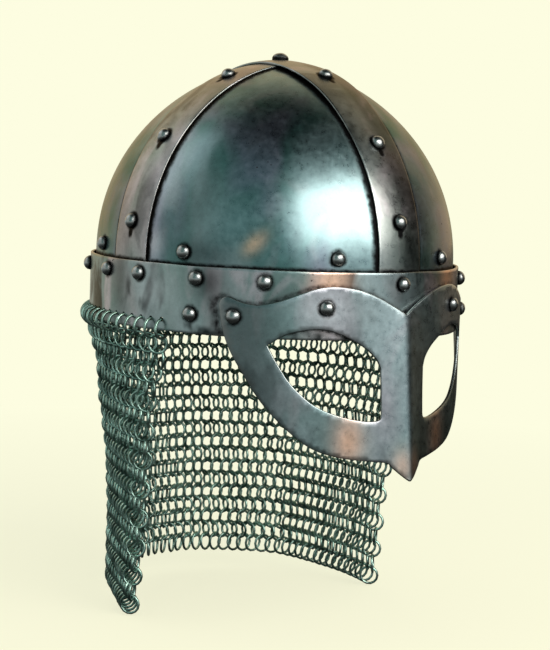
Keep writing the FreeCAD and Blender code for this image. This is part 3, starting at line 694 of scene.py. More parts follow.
def band_tree():
    """An oval strip that stands on edge, with its seam closed."""
    tree, given = new_tree(
        "brow_band", Float="Radius, Length Ratio, Height, Unevenness", Int="Columns, Rows"
    )
    grid, x, y = unit_grid(tree, given["Columns"], given["Rows"])
    angle = add_node(tree, "Math", [x, 2.0 * math.pi], operation="MULTIPLY")
    turns = [add_node(tree, "Math", [angle], operation=way) for way in ("COSINE", "SINE")]
    x, round_y = (add_node(tree, "Math", [t, given["Radius"]], operation="MULTIPLY") for t in turns)
    ahead = add_node(tree, "Math", [round_y, given["Length Ratio"]], operation="MULTIPLY")
    down = add_node(tree, "Math", [y, 0.5], operation="SUBTRACT")
    z = add_node(tree, "Math", [down, given["Height"]], operation="MULTIPLY")
    place = add_node(tree, "CombineXYZ", [x, ahead, z])
    laid = add_node(tree, "GeometryNodeSetPosition", {"Geometry": grid, "Position": place})
    # Filed by hand, the edges wander by a few tenths of a millimetre.
    wander = add_node(tree, "TexNoise", {
        "Vector": add_node(tree, "GeometryNodeInputPosition"), "Scale": filing_waves_per_metre,
        "Detail": 1.0,
    })
    centred = add_node(tree, "Math", [wander, 0.62], operation="SUBTRACT")
    moved = add_node(tree, "Math", [centred, given["Unevenness"]], operation="MULTIPLY")
    shift = add_node(tree, "CombineXYZ", {2: moved})
    filed = add_node(tree, "GeometryNodeSetPosition", {"Geometry": laid, "Offset": shift})
    joined = add_node(tree, "GeometryNodeMergeByDistance", {"Geometry": filed, "Distance": weld_reach})
    return close_tree(tree, given, joined)


def on_pegs(tree, given, shape, scale=(1.0, 1.0, 1.0), spin=None):
    """Puts a shape on each peg, spun if asked, with its z axis the way that the peg faces."""
    facing = add_node(
        tree, "GeometryNodeInputNamedAttribute", {"Name": "facing"}, data_type="FLOAT_VECTOR"
    )
    turn = add_node(tree, "FunctionNodeAlignRotationToVector", {"Vector": facing}, axis="Z")
    if spin:
        turn = add_node(
            tree, "FunctionNodeRotateRotation", {"Rotation": turn, "Rotate By": spin},
            rotation_space="LOCAL",
        )
    return add_node(tree, "GeometryNodeInstanceOnPoints", {
        "Points": given["Geometry"], "Instance": shape, "Rotation": turn, "Scale": scale,
    })


def bar_tree():
    """A short round bar on each peg, along the way that it faces."""
    tree, given = new_tree("round_bars", Int="Sides", Float="Bar Radius, Bar Length")
    bar = add_node(tree, "GeometryNodeMeshCylinder", {
        "Vertices": given["Sides"], "Radius": given["Bar Radius"], "Depth": given["Bar Length"],
    })
    return close_tree(tree, given, on_pegs(tree, given, bar))


def pegs(name, rows, label="facing", kind="FLOAT_VECTOR"):
    """A piece of bare points; each row gives a place and the value that is kept there."""
    piece = bare_piece(name, [place for place, value in rows])
    field = piece.data.attributes.new(label, kind, "POINT")
    for point, (place, value) in zip(field.data, rows):
        setattr(point, "vector" if kind == "FLOAT_VECTOR" else "value", value)
    return piece


def column_deg(i):
    """Angle of a ring column at the band, from one free edge round the back."""
    return mail_start_deg + (360.0 - 2.0 * mail_start_deg) * i / (ring_columns - 1.0)


def oval_seat(deg, radius, z):
    """Place and outward direction on an oval of the round form's radius."""
    a = math.radians(deg)
    place = Vector((radius * math.sin(a), -radius * math.cos(a) * length_ratio, z))
    return place, Vector((math.sin(a) * length_ratio, -math.cos(a), 0.0)).normalized()


band_steel = darkened_steel(
    "blacked_mild_steel_band", ("#a6b7bb", "#7f9896", "#b3a9ae"), worn_and_glinting_edges=0.8, dents=0.9,
    blotch=1.0, specks=0.04,
)
round_bars = bar_tree()
drills = pegs("ring_hole_bars", [
    oval_seat(column_deg(i), hanger_round, ring_hole_rise - band_height) for i in range(ring_columns)
])
grow(drills, round_bars, {
    "Sides": 14, "Bar Radius": ring_hole_radius, "Bar Length": drill_length, "Material": band_steel,
})
settle(drills)
band = bare_piece("brow_band_strip")
grow(band, band_tree(), {
    "Radius": half_width + band_out, "Length Ratio": length_ratio, "Height": band_height,
    "Columns": band_grid[0], "Rows": band_grid[1], "Unevenness": filing_depth, "Material": band_steel,
})
thicken(band, band_sheet, band_rounding)
holes = band.modifiers.new("holes", "BOOLEAN")
holes.operation = "DIFFERENCE"
holes.solver = "EXACT"
holes.object = drills
settle(band)
bpy.data.objects.remove(drills)
band_seats = [seat(deg, -band_rivet_drop, band_out) for deg in both_sides(band_rivet_degs)]
side_seats = [seat(deg, -side_rivet_drop, band_out) for deg in both_sides((side_rivet_deg,))]
mark(band, "stain_and_shade", lambda p: stain_share(p, band_seats + side_seats, 0.15))
mark(band, "rim", lambda p: edge_share(min(-p.z, p.z + band_height), band_rub_and_glint_width))
mark(band, "rub_and_painted_light", lambda p: 0.5 + spot_share(band_rubs, brow_deg(p), p.z))
mark(band, "painted_glint", lambda p: spot_share(band_painted_glints, brow_deg(p), p.z))
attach(band, "helmet")
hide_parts("brow_band")


# Spectacle guard
# A mask of 1.8 mm steel with two eye holes, cut to an outline, bent round the
# brow and folded to a ridge down the nose. Four rivets hold it over the band.
guard_sheet = 1.8 * mm
guard_gap = 0.25 * mm
guard_out = band_out + guard_gap + guard_sheet
guard_rounding = 0.5 * mm
guard_tip = 109.0 * mm
guard_top = 4.0 * mm
guard_ridge_top = 0.6 * mm
guard_ridge_tip = 10.4 * mm
guard_half_width = 85.0 * mm
ridge_round = 1.6 * mm
guard_rivets = ((25.4, 18.5 * mm), (51.4, 24.7 * mm))
outline_step = 1.25 * mm
inner_step = 2.1 * mm
row_step = 0.87 * inner_step
guard_rub_and_glint_width = 0.45 * mm
# Painted shadow on the band along the guard's edge: its width and its reach past the guard's ends.
guard_shadow_width = 4.0 * mm
guard_shadow_past = 3.0 * mm
# Painted shade towards both ends of the guard:
end_shade_from = 54.0 * mm
end_shade_width = 20.0 * mm
# Darkest share of the painted shadow along the guard's edge:
guard_shadow_most = 0.72
# The second spot lightens the guard's arm as a painted highlight, under its warm colour below.
guard_rubs_and_glint = (
    (0.22, 44.0, 20.0, -20.0, 11.0), (0.2, 31.0, 7.0, -88.0, 13.0), (-0.16, 0.0, 20.0, -60.0, 36.0),
)
# Warm painted highlights on the guard:
guard_painted_glints = ((1.0, 31.0, 7.0, -88.0, 13.0), (0.6, 4.0, 5.0, -101.0, 9.0))

# Outline of one half, seen from ahead: share of the half width, share of the tip's
# drop. Each stretch is smooth in itself.
outline_shares = (
    (
        (0.0, 0.200), (0.09, 0.160), (0.20, 0.117), (0.33, 0.082), (0.46, 0.068), (0.56, 0.076),
        (0.66, 0.108), (0.76, 0.146), (0.85, 0.168),
    ),
    ((0.85, 0.168), (0.91, 0.158), (0.965, 0.134)),
    ((0.965, 0.134), (0.985, 0.142), (0.995, 0.165), (0.995, 0.192)),
    (
        (0.995, 0.192), (0.982, 0.290), (0.955, 0.385), (0.905, 0.490), (0.82, 0.630), (0.70, 0.755),
        (0.57, 0.842), (0.42, 0.884), (0.25, 0.902), (0.165, 0.907),
    ),
    ((0.165, 0.907), (0.130, 0.914), (0.112, 0.932)),
    ((0.112, 0.932), (0.05, 0.975), (0.0, 1.0)),
)
eye_shares = (
    (
        (0.802, 0.356), (0.715, 0.301), (0.60, 0.275), (0.505, 0.276), (0.40, 0.306), (0.28, 0.358),
        (0.205, 0.412), (0.177, 0.458),
    ),
    ((0.177, 0.458), (0.172, 0.580), (0.172, 0.680)),
    ((0.172, 0.680), (0.178, 0.700), (0.205, 0.709)),
    (
        (0.205, 0.709), (0.27, 0.709), (0.38, 0.693), (0.51, 0.658), (0.60, 0.612), (0.69, 0.533),
        (0.755, 0.440), (0.802, 0.356),
    ),
)


def smooth_line(stretches):
    """An evenly stepped line through the points of each stretch, without the last one's end."""
    line = []
    for shares in stretches:
        knots = [Vector((sx * guard_half_width, -sz * guard_tip)) for sx, sz in shares]
        knots = [knots[0] * 2.0 - knots[1], *knots, knots[-1] * 2.0 - knots[-2]]
        for a, b, c, d in zip(knots, knots[1:], knots[2:], knots[3:]):
            steps = max(1, round((c - b).length / outline_step))
            for t in (i / steps for i in range(steps)):
                line.append(0.5 * (
                    2.0 * b + (c - a) * t + (2.0 * a - 5.0 * b + 4.0 * c - d) * t * t
                    + (3.0 * b - a - 3.0 * c + d) * t * t * t
                ))
    return line


def guard_depth(x, z):
    """Real y of the guard's outer face where it is seen from straight ahead."""
    radius = half_width + guard_out
    down = (-z - guard_top) / (guard_tip - guard_top)
    peak = radius + guard_ridge_top + (guard_ridge_tip - guard_ridge_top) * down
    touch = math.acos(radius / peak)
    touch_x = radius * math.sin(touch)
    out = math.hypot(x, ridge_round)
    if out < touch_x:
        return -(peak + (radius * math.cos(touch) - peak) * out / touch_x) * length_ratio
    return -math.sqrt(max(radius * radius - x * x, 0.0)) * length_ratio


def inside_line(p, line):
    """Whether a flat point lies inside a closed line."""
    crossed = False
    for a, b in zip(line, line[1:] + line[:1]):
        if (a.y > p.y) != (b.y > p.y) and p.x < (b.x - a.x) * (p.y - a.y) / (b.y - a.y) + a.x:
            crossed = not crossed
    return crossed


def from_rim(point):
    """How far a point lies from the guard's outline and eye holes, seen from ahead."""
    return rim_tree.find((point.x, point.z, 0.0))[2]


def guard_rub_and_painted_light(p):
    # Painted shade darkens the guard towards both ends.
    end_shade = 0.36 * held((abs(p.x) - end_shade_from) / end_shade_width)
    return 0.5 + spot_share(guard_rubs_and_glint, abs(p.x) / mm, p.z) - end_shade


half_line = smooth_line(outline_shares)
notch = half_line[0]
tip = Vector((0.0, -guard_tip))
outer_line = half_line + [tip] + [Vector((-p.x, p.y)) for p in reversed(half_line[1:])]
eye_line = smooth_line(eye_shares)
eye_lines = [eye_line, [Vector((-p.x, p.y)) for p in eye_line]]
flat_points = []
flat_edges = []
for line in (outer_line, *eye_lines):
    start = len(flat_points)
    flat_points += line
    flat_edges += [(start + i, start + (i + 1) % len(line)) for i in range(len(line))]
rim_tree = KDTree(len(flat_points))
for i, p in enumerate(flat_points):
    rim_tree.insert((p.x, p.y, 0.0), i)
rim_tree.balance()
ridge_steps = round((notch.y - tip.y) / outline_step)
flat_points += [notch.lerp(tip, i / ridge_steps) for i in range(1, ridge_steps)]
columns = round(guard_half_width / inner_step) + 1
for j in range(round(guard_tip / row_step) + 1):
    for i in range(-columns, columns + 1):
        p = Vector(((i + 0.5 * (j % 2)) * inner_step, -j * row_step))
        clear = rim_tree.find((p.x, p.y, 0.0))[2] > 0.75 * inner_step
        if clear and abs(p.x) > 0.5 * inner_step and inside_line(p, outer_line):
            flat_points.append(p)
net = delaunay_2d_cdt(flat_points, flat_edges, [], 1, 1e-7)
guard_faces = []
for face in net[2]:
    middle = (net[0][face[0]] + net[0][face[1]] + net[0][face[2]]) / 3.0
    if not any(inside_line(middle, line) for line in eye_lines):
        guard_faces.append(face)
guard = bare_piece(
    "spectacle_guard_sheet", [(p.x, guard_depth(p.x, p.y), p.y) for p in net[0]], guard_faces
)
guard.data.materials.append(darkened_steel(
    "blacked_mild_steel_guard", ("#a9bbc0", "#8aa3a5", "#b6b2bc"), worn_and_glinting_edges=0.8, dents=0.7,
    blotch=0.35, specks=-0.12,
))
thicken(guard, guard_sheet, guard_rounding)
settle(guard, 60.0)
guard_seats = [seat(side * deg, -drop, guard_out) for deg, drop in guard_rivets for side in (-1.0, 1.0)]
mark(guard, "stain_and_shade", lambda p: stain_share(p, guard_seats, 0.2))
mark(guard, "rim", lambda p: edge_share(from_rim(p), guard_rub_and_glint_width))
mark(guard, "rub_and_painted_light", guard_rub_and_painted_light)
mark(guard, "painted_glint", lambda p: spot_share(guard_painted_glints, abs(p.x) / mm, p.z))
# Painted shadow darkens the band in the corner along the guard's edge.
guard_shadow_on_band = band.data.attributes["stain_and_shade"].data
for v in band.data.vertices:
    if v.co.y < 0.0 and abs(v.co.x) < guard_half_width + guard_shadow_past:
        black = guard_shadow_most * (1.0 - from_rim(v.co) / guard_shadow_width)
        guard_shadow_on_band[v.index].value = max(guard_shadow_on_band[v.index].value, black)
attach(guard, "helmet")
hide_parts("spectacle_guard")


# Liner
# A headband of 1.8 mm vegetable-tanned leather, cut in one with eight tongues.
# Their tips are rolled and sewn over a lace that draws them together over the
# head. Eight of the rivets, with a washer inside, hold it under the plates.
lap_under = 2.0 * plate_sheet + lay_gap
leather_sheet = 1.8 * mm
liner_gap = 0.25 * mm
liner_rounding = 0.35 * mm
liner_heights = [z * mm for z in (-2.0, -1.2, 1.5, 4.5, 7.5, 10.5)]
liner_high = 13.0 * mm
tongue_count = 8
tongue_columns = 22
tongue_tip = (26.0 * mm, 78.0 * mm)
tongue_bow_share = 0.66
tongue_sag_most = 1.3 * mm
sag_from = 25 * mm
sag_over = 30 * mm
slope_steps = 40
slot_foot_rise = 14.0 * mm
slot_foot_half = 3.75 * mm
slot_tip_half = 4.5 * mm
hem_radius = 3.4 * mm
hem_sides = 14
hem_steps = 12
hem_rounding = 0.6 * mm
hem_row_in = 6.5 * mm
lace_radius = 1.25 * mm
washer_radius = 4.6 * mm
washer_sheet = 0.8 * mm
washer_gap = 0.3 * mm
stitch_pitch = 4.2 * mm
stitch_length = 3.1 * mm
stitch_rise = 1.0 * mm
hem_stitches = 5
thread_radius = 0.42 * mm
thread_fleck = 0.7 * mm
leather_grain = 1.1 * mm
leather_patch = 30 * mm
liner_outer = dome_radius(liner_high) - lap_under - liner_gap
washer_in = dome_radius(liner_rivet_rise) - (liner_outer - leather_sheet) + washer_gap


def arc_line(foot, middle, tip, steps):
    """Points of the arc through three flat points, from the first to the last."""
    a, b, c = (Vector(p) for p in (foot, middle, tip))
    ab, cb = a - b, c - b
    cross = 2.0 * (ab.x * cb.y - ab.y * cb.x)
    ux = (cb.y * ab.length_squared - ab.y * cb.length_squared) / cross
    uy = (ab.x * cb.length_squared - cb.x * ab.length_squared) / cross
    centre = b + Vector((ux, uy))
    start = math.atan2(a.y - centre.y, a.x - centre.x)
    sweep = math.atan2(c.y - centre.y, c.x - centre.x) - start
    sweep = (sweep + math.pi) % (2.0 * math.pi) - math.pi
    radius = (a - centre).length
    turns = [start + sweep * i / steps for i in range(steps + 1)]
    return [(centre.x + radius * math.cos(t), centre.y + radius * math.sin(t)) for t in turns]


def slot_half_angle(radius, z):
    """Half the angle of the slot between two tongues, where the leather has this radius."""
    w = held((z - slot_foot_rise) / (tongue_tip[1] - slot_foot_rise))
    return math.asin((slot_foot_half + (slot_tip_half - slot_foot_half) * w) / radius)


def tongue_angle(i, share, half):
    """Angle at a share of a tongue's width, between slots of this half angle."""
    sector = 2.0 * math.pi / tongue_count
    return i * sector + half + (sector - 2.0 * half) * share


def tongue_sag(share, z):
    """Worn leather sags a little between its edges."""
    return tongue_sag_most * math.sin(math.pi * share) * held((z - sag_from) / sag_over)


def liner_point(angle, radius, z):
    return Vector((radius * math.sin(angle), -radius * math.cos(angle) * length_ratio, z))


def liner_way(angle):
    """The way along the liner's oval."""
    return (liner_point(angle + 0.01, 1.0, 0.0) - liner_point(angle - 0.01, 1.0, 0.0)).normalized()


def liner_ring(angle, radius, z, size, sides):
    """Points round a roll or strand that runs along the liner's oval."""
    turns = [2.0 * math.pi * j / sides for j in range(sides)]
    return [liner_point(angle, radius + size * math.cos(t), z + size * math.sin(t)) for t in turns]


def tube_faces(start, rings, sides, closed):
    """Faces between rings of points; a closed tube's last ring meets its first."""
    faces = []
    for k in range(rings if closed else rings - 1):
        here, there = start + k * sides, start + (k + 1) % rings * sides
        for j in range(sides):
            next_j = (j + 1) % sides
            faces.append((here + j, there + j, there + next_j, here + next_j))
    return faces


def leather():
    """Vegetable-tanned cowhide, dyed brown, waxed and worn by the hair.

    It has a fine pebbled grain, soft darker patches and a low waxy shine.
    """
    material, tree, place = new_material("waxed_cowhide")
    patches = add_node(tree, "TexNoise", {
        "Vector": place, "Scale": 1.0 / leather_patch, "Detail": 5.0, "Roughness": 0.6,
    })
    grain = add_node(
        tree, "TexVoronoi", {"Vector": place, "Scale": 1.0 / leather_grain}, feature="SMOOTH_F1"
    )
    share, creases, waxed = (
        add_node(tree, "MapRange", row)
        for row in ((patches, 0.35, 0.68), (grain, 0.35, 0.75, 1.0, 0.72), (patches, 0.0, 1.0, 0.42, 0.72))
    )
    dyed = add_node(tree, "Mix", {0: share, 6: "#7d5836", 7: "#4b2f1b"}, data_type="RGBA")
    creased = add_node(tree, "VectorMath", [dyed, creases], operation="MULTIPLY")
    pebbled = add_node(
        tree, "Bump", {"Height": grain, "Strength": 0.5, "Distance": 0.12 * mm}, invert=True
    )
    feed(tree, tree.nodes["Principled BSDF"], {
        "Base Color": creased, "Roughness": waxed, "IOR": 1.5, "Normal": pebbled,
    })
    return material


def thread(name, colour, wax_roughness):
    """Linen yarn, spun and waxed: matt, with small darker flecks along the strands."""
    material, tree, place = new_material(name)
    flecks = add_node(tree, "TexNoise", {"Vector": place, "Scale": 1.0 / thread_fleck, "Detail": 3.0})
    shade = add_node(tree, "MapRange", [flecks, 0.3, 0.7, 0.65, 1.1])
    feed(tree, tree.nodes["Principled BSDF"], {
        "Base Color": add_node(tree, "VectorMath", [linear(colour)[:3], shade], operation="MULTIPLY"),
        "Roughness": wax_roughness,
        "Normal": add_node(tree, "Bump", {"Height": flecks, "Strength": 0.5, "Distance": 0.1 * mm}),
    })
    return material


def stitch_tree():
    """A stitch on each peg: a short bead of thread that lies along its own direction."""
    tree, given = new_tree("stitches", Float="Thread Radius, Stitch Length")
    bead = add_node(tree, "GeometryNodeMeshIcoSphere", {"Radius": 1.0, "Subdivisions": 2})
    half = add_node(tree, "Math", [given["Stitch Length"], 0.5], operation="MULTIPLY")
    shape = add_node(tree, "CombineXYZ", [given["Thread Radius"], given["Thread Radius"], half])
    return close_tree(tree, given, on_pegs(tree, given, bead, scale=shape))


reach = (liner_outer - tongue_tip[0]) * tongue_bow_share
tip_top = tongue_tip[1] + leather_sheet / 2.0
slope = arc_line(
    (liner_outer, liner_high),
    (tongue_tip[0] + reach, liner_high + (tip_top - liner_high) * tongue_bow_share),
    (tongue_tip[0], tip_top), slope_steps,
)
rail = [(liner_outer, z) for z in liner_heights] + slope
points = []
for i in range(tongue_count):
    for radius, z in rail:
        half = slot_half_angle(radius, z)
        for j in range(tongue_columns + 1):
            share = j / tongue_columns
            sag = tongue_sag(share, z)
            points.append(liner_point(tongue_angle(i, share, half), radius - 0.5 * sag, z - sag))
faces = []
row = tongue_columns + 1
block = row * len(rail)
for i in range(tongue_count):
    faces += strip_faces(i * block, len(rail) - 1, tongue_columns)
    for k in range(len(rail) - 1):
        if rail[k + 1][1] <= slot_foot_rise:
            a = i * block + k * row + tongue_columns
            b = (i + 1) % tongue_count * block + k * row
            faces.append((a, b, b + row, a + row))
hide = leather()
liner = bare_piece("liner_leather_sheet", points, faces)
liner.data.materials.append(hide)
thicken(liner, leather_sheet, liner_rounding)
settle(liner, 60.0)
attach(liner, "helmet")
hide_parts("liner")

points = []
faces = []
half = slot_half_angle(*tongue_tip)
for i in range(tongue_count):
    start = len(points)
    for k in range(hem_steps + 1):
        share = k / hem_steps
        # the roll is pinched a little at both ends
        size = hem_radius * (1.0 - 0.12 * abs(2.0 * share - 1.0) ** 4)
        points += liner_ring(tongue_angle(i, share, half), *tongue_tip, size, hem_sides)
    faces += tube_faces(start, hem_steps + 1, hem_sides, False)
    faces.append([start + j for j in range(hem_sides)])
    faces.append([start + hem_steps * hem_sides + j for j in reversed(range(hem_sides))])
rolls = bare_piece("liner_rolled_hems", points, faces)
rolls.data.materials.append(hide)
round_edges(rolls, hem_rounding, 60.0)
settle(rolls, 60.0)
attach(rolls, "helmet")
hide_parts("liner")

stitch_rows = []
ring_length = 2.0 * math.pi * liner_outer * (1.0 + length_ratio) / 2.0
stitches = round(ring_length / stitch_pitch)
for angle in (2.0 * math.pi * i / stitches for i in range(stitches)):
    for radius in (liner_outer, liner_outer - leather_sheet):
        stitch_rows.append((liner_point(angle, radius, stitch_rise), liner_way(angle)))
hem_row_radius = tongue_tip[0] + hem_row_in
hem_row_z = max(z for radius, z in slope if radius >= hem_row_radius)
half = slot_half_angle(hem_row_radius, hem_row_z)
for i in range(tongue_count):
    for share in ((k + 0.5) / hem_stitches for k in range(hem_stitches)):
        angle = tongue_angle(i, share, half)
        sag = tongue_sag(share, hem_row_z)
        for depth in (0.0, leather_sheet):
            place = liner_point(angle, hem_row_radius - 0.5 * sag, hem_row_z - sag - depth)
            stitch_rows.append((place, liner_way(angle)))
seams = pegs("liner_stitches", stitch_rows)
grow(seams, stitch_tree(), {
    "Thread Radius": thread_radius, "Stitch Length": stitch_length,
    "Material": thread("waxed_linen_thread", "#b9a37c", 0.6),
})
settle(seams, 80.0)
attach(seams, "helmet")
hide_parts("liner")


# Liner lace
# Two strands of waxed linen, laid together and knotted into a loop through the
# rolled tips of the tongues.
lace_turns = 36
lace_steps = 648
strand_sides = 6
strand_radius = 0.55 * lace_radius
strand_lay = 0.45 * lace_radius
points = []
faces = []
for strand in range(2):
    faces += tube_faces(len(points), lace_steps, strand_sides, True)
    for k in range(lace_steps):
        angle = 2.0 * math.pi * k / lace_steps
        lay = lace_turns * angle + strand * math.pi
        radius = tongue_tip[0] + strand_lay * math.cos(lay)
        z = tongue_tip[1] + strand_lay * math.sin(lay)
        points += liner_ring(angle, radius, z, strand_radius, strand_sides)
lace = bare_piece("liner_lace_strands", points, faces)
lace.data.materials.append(thread("waxed_linen_lace", "#8d7653", 0.65))
lace.data.shade_smooth()
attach(lace, "helmet")
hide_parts("liner_lace")


# Rivets
# Round-headed steel rivets, hammered over on the inside. Their domes are rubbed bright, and black oxide is
# left in the corner round each head. Painted shade with some oxide darkens the foot of each head.
rivet_head_height = 3.9 * mm
snapped_radius = rivet_head_radius - 0.3 * mm
rivet_tail_radius = 2.9 * mm
rivet_tail_height = 1.1 * mm
apex_head_radius = 4.7 * mm
head_edge = 0.5 * mm
head_sink = 0.4 * mm
head_dent = 0.35 * mm
tail_edge = 0.3 * mm
tail_sink = 0.6 * mm
tail_dent = 0.3 * mm
washer_rounding = 0.15 * mm
hammer_mark = 4.0 * mm
rivet_spot = 1.6 * mm
rivet_lean_most = 0.09


def rivet_tree():
    """A round head on each peg, facing out, turned at random and a little uneven."""
    tree, given = new_tree(
        "rivet_heads", Int="Segments, Rings, Seed",
        Float="Head Radius, Head Height, Head Edge, Head Sink, Unevenness",
    )
    grid, x, y = unit_grid(tree, given["Segments"], given["Rings"])
    angle = add_node(tree, "Math", [x, 2.0 * math.pi], operation="MULTIPLY")
    over = add_node(tree, "MapRange", [y, -0.5, 0.3, 0.0, math.pi / 2.0])
    down = add_node(tree, "MapRange", [y, 0.3, 0.5])
    wide, high, sine, cosine = (
        add_node(tree, "Math", [turn], operation=way)
        for turn, way in ((over, "SINE"), (over, "COSINE"), (angle, "SINE"), (angle, "COSINE"))
    )
    radius = add_node(tree, "Math", [wide, given["Head Radius"]], operation="MULTIPLY")
    crown = add_node(tree, "Math", [given["Head Height"], given["Head Edge"]], operation="SUBTRACT")
    domed = add_node(tree, "Math", [high, crown, given["Head Edge"]], operation="MULTIPLY_ADD")
    wall = add_node(tree, "Math", [given["Head Edge"], given["Head Sink"]], operation="ADD")
    sunk = add_node(tree, "Math", [wall, down], operation="MULTIPLY")
    height = add_node(tree, "Math", [domed, sunk], operation="SUBTRACT")
    x, y = (add_node(tree, "Math", [radius, way], operation="MULTIPLY") for way in (cosine, sine))
    place = add_node(tree, "CombineXYZ", [x, y, height])
    skirt = add_node(
        tree, "GeometryNodeStoreNamedAttribute", {"Geometry": grid, "Name": "rim", "Value": over},
        data_type="FLOAT", domain="POINT",
    )
    head = add_node(tree, "GeometryNodeSetPosition", {"Geometry": skirt, "Position": place})
    closed = add_node(tree, "GeometryNodeMergeByDistance", {"Geometry": head, "Distance": weld_reach})
    outward = add_node(tree, "GeometryNodeFlipFaces", [closed, True])
    uneven = add_node(tree, "FunctionNodeRandomValue", {
        "Min": (-rivet_lean_most, -rivet_lean_most, 0.0), "Max": (rivet_lean_most, rivet_lean_most, 6.28),
        "Seed": given["Seed"],
    }, data_type="FLOAT_VECTOR")
    spin = add_node(tree, "FunctionNodeEulerToRotation", [uneven])
    placed = on_pegs(tree, given, outward, spin=spin)
    real = add_node(tree, "GeometryNodeRealizeInstances", [placed])
    # Hammer marks: the domes are not quite round.
    marks = add_node(tree, "TexNoise", {
        "Vector": add_node(tree, "GeometryNodeInputPosition"), "Scale": 1.0 / hammer_mark, "Detail": 1.0,
    })
    centred = add_node(tree, "Math", [marks, 0.5], operation="SUBTRACT")
    amount = add_node(tree, "Math", [centred, given["Unevenness"]], operation="MULTIPLY")
    normal = add_node(tree, "GeometryNodeInputNormal")
    push = add_node(tree, "VectorMath", {0: normal, "Scale": amount}, operation="SCALE")
    hammered = add_node(tree, "GeometryNodeSetPosition", {"Geometry": real, "Offset": push})
    return close_tree(tree, given, hammered)


def rivet_steel():
    """Drawn steel rivet wire, domed with a snap tool and rubbed.

    The dome is a small clear mirror; its foot is matt black, painted shade with some oxide.
    """
    material, tree, place = new_material("snapped_steel_rivet")
    over = add_node(tree, "Attribute", attribute_name="rim").outputs["Fac"]
    spots = add_node(tree, "TexNoise", {
        "Vector": place, "Scale": 1.0 / rivet_spot, "Detail": 4.0, "Roughness": 0.6,
    })
    ragged = add_node(tree, "Math", [spots, 0.7, over], operation="MULTIPLY_ADD")
    # The dark foot of the head is painted shade with some oxide.
    foot = add_node(tree, "MapRange", [ragged, 1.25, 1.85], interpolation_type="SMOOTHSTEP")
    feed(tree, tree.nodes["Principled BSDF"], {
        "Base Color": add_node(tree, "Mix", {0: foot, 6: "#a0a5a6", 7: oxide_and_shade_colour}, data_type="RGBA"),
        "Metallic": 1.0, "Roughness": add_node(tree, "MapRange", [foot, 0.0, 1.0, 0.27, 0.55]),
        "Normal": add_node(tree, "Bump", {"Height": spots, "Strength": 0.35, "Distance": 0.15 * mm}),
    })
    return material


head_steel = rivet_steel()
head_tree = rivet_tree()
apex_seat = [(Vector((0.0, 0.0, dome_rise + lift_in + strap_in + strap_sheet)), Vector((0.0, 0.0, 1.0)))]
for name, seats, depth, radius in (
    ("strap", strap_seats, lap_under + strap_in + strap_sheet, snapped_radius),
    ("band", band_seats, plate_sheet + band_out, snapped_radius),
    ("side", side_seats, band_sheet, snapped_radius),
    ("guard", guard_seats, guard_out - band_in, snapped_radius),
    ("liner", liner_seats, washer_in + washer_sheet, snapped_radius),
    ("apex", apex_seat, lift_in + strap_sheet, apex_head_radius),
):
    heads = pegs("rivet_heads_" + name, seats)
    grow(heads, head_tree, {
        "Head Radius": radius, "Head Height": rivet_head_height, "Head Edge": head_edge,
        "Head Sink": head_sink, "Segments": 29, "Rings": 13, "Unevenness": head_dent, "Seed": len(name),
        "Material": head_steel,
    })
    tails = pegs("rivet_tails_" + name, [(place - normal * depth, -normal) for place, normal in seats])
    grow(tails, head_tree, {
        "Head Radius": rivet_tail_radius, "Head Height": rivet_tail_height, "Head Edge": tail_edge,
        "Head Sink": tail_sink, "Segments": 21, "Rings": 9, "Unevenness": tail_dent, "Seed": len(name),
        "Material": head_steel,
    })
    for piece in (heads, tails):
        settle(piece, 60.0)
        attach(piece, "helmet")
        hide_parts("rivet_apex" if name == "apex" else "rivets_" + name)

# A punched disc lies under the hammered end of each rivet of the liner.
washers = pegs("liner_washer_discs", [
    (place - normal * (washer_in + washer_sheet / 2.0), -normal) for place, normal in liner_seats
])
grow(washers, round_bars, {
    "Sides": 28, "Bar Radius": washer_radius, "Bar Length": washer_sheet, "Material": head_steel,
})
round_edges(washers, washer_rounding, 30.0)
settle(washers, 40.0)
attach(washers, "helmet")
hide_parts("liner_washers")


# Hanger rings
# A round-wire steel ring through each hole of the brow band. They stand square
# to the band and carry the top row of the mail.
ring_radius = 5.2 * mm
wire_radius = 0.8 * mm
wire_patch = 9.0 * mm
wire_spot = 0.9 * mm
hanger_z = ring_hole_rise - band_height - ring_radius


def ring_tree():
    """A closed wire ring on each peg, turned by its own angle and a little loose."""
    tree, given = new_tree(
        "wire_rings", Float="Ring Radius, Wire Radius, Looseness", Int="Segments, Wire Sides, Seed"
    )
    loose = given["Looseness"]
    path, wire = (
        add_node(
            tree, "GeometryNodeCurvePrimitiveCircle", {"Resolution": given[sides], "Radius": given[size]}
        )
        for sides, size in (("Segments", "Ring Radius"), ("Wire Sides", "Wire Radius"))
    )
    ring = add_node(tree, "GeometryNodeCurveToMesh", {"Curve": path, "Profile Curve": wire})
    turn = add_node(tree, "GeometryNodeInputNamedAttribute", {"Name": "turn"}, data_type="FLOAT")
    least = add_node(tree, "Math", [loose, -1.0], operation="MULTIPLY")
    other_seed = add_node(tree, "Math", [given["Seed"], 7.0], operation="ADD")
    tilt, swing = (
        add_node(tree, "FunctionNodeRandomValue", {2: least, 3: loose, "Seed": seed}, data_type="FLOAT")
        for seed in (given["Seed"], other_seed)
    )
    lean = add_node(tree, "Math", [tilt, math.pi / 2.0], operation="ADD")
    heading = add_node(tree, "Math", [turn, swing], operation="ADD")
    euler = add_node(tree, "CombineXYZ", {0: lean, 2: heading})
    aimed = add_node(tree, "FunctionNodeEulerToRotation", [euler])
    placed = add_node(tree, "GeometryNodeInstanceOnPoints", {
        "Points": given["Geometry"], "Instance": ring, "Rotation": aimed,
    })
    return close_tree(tree, given, placed)


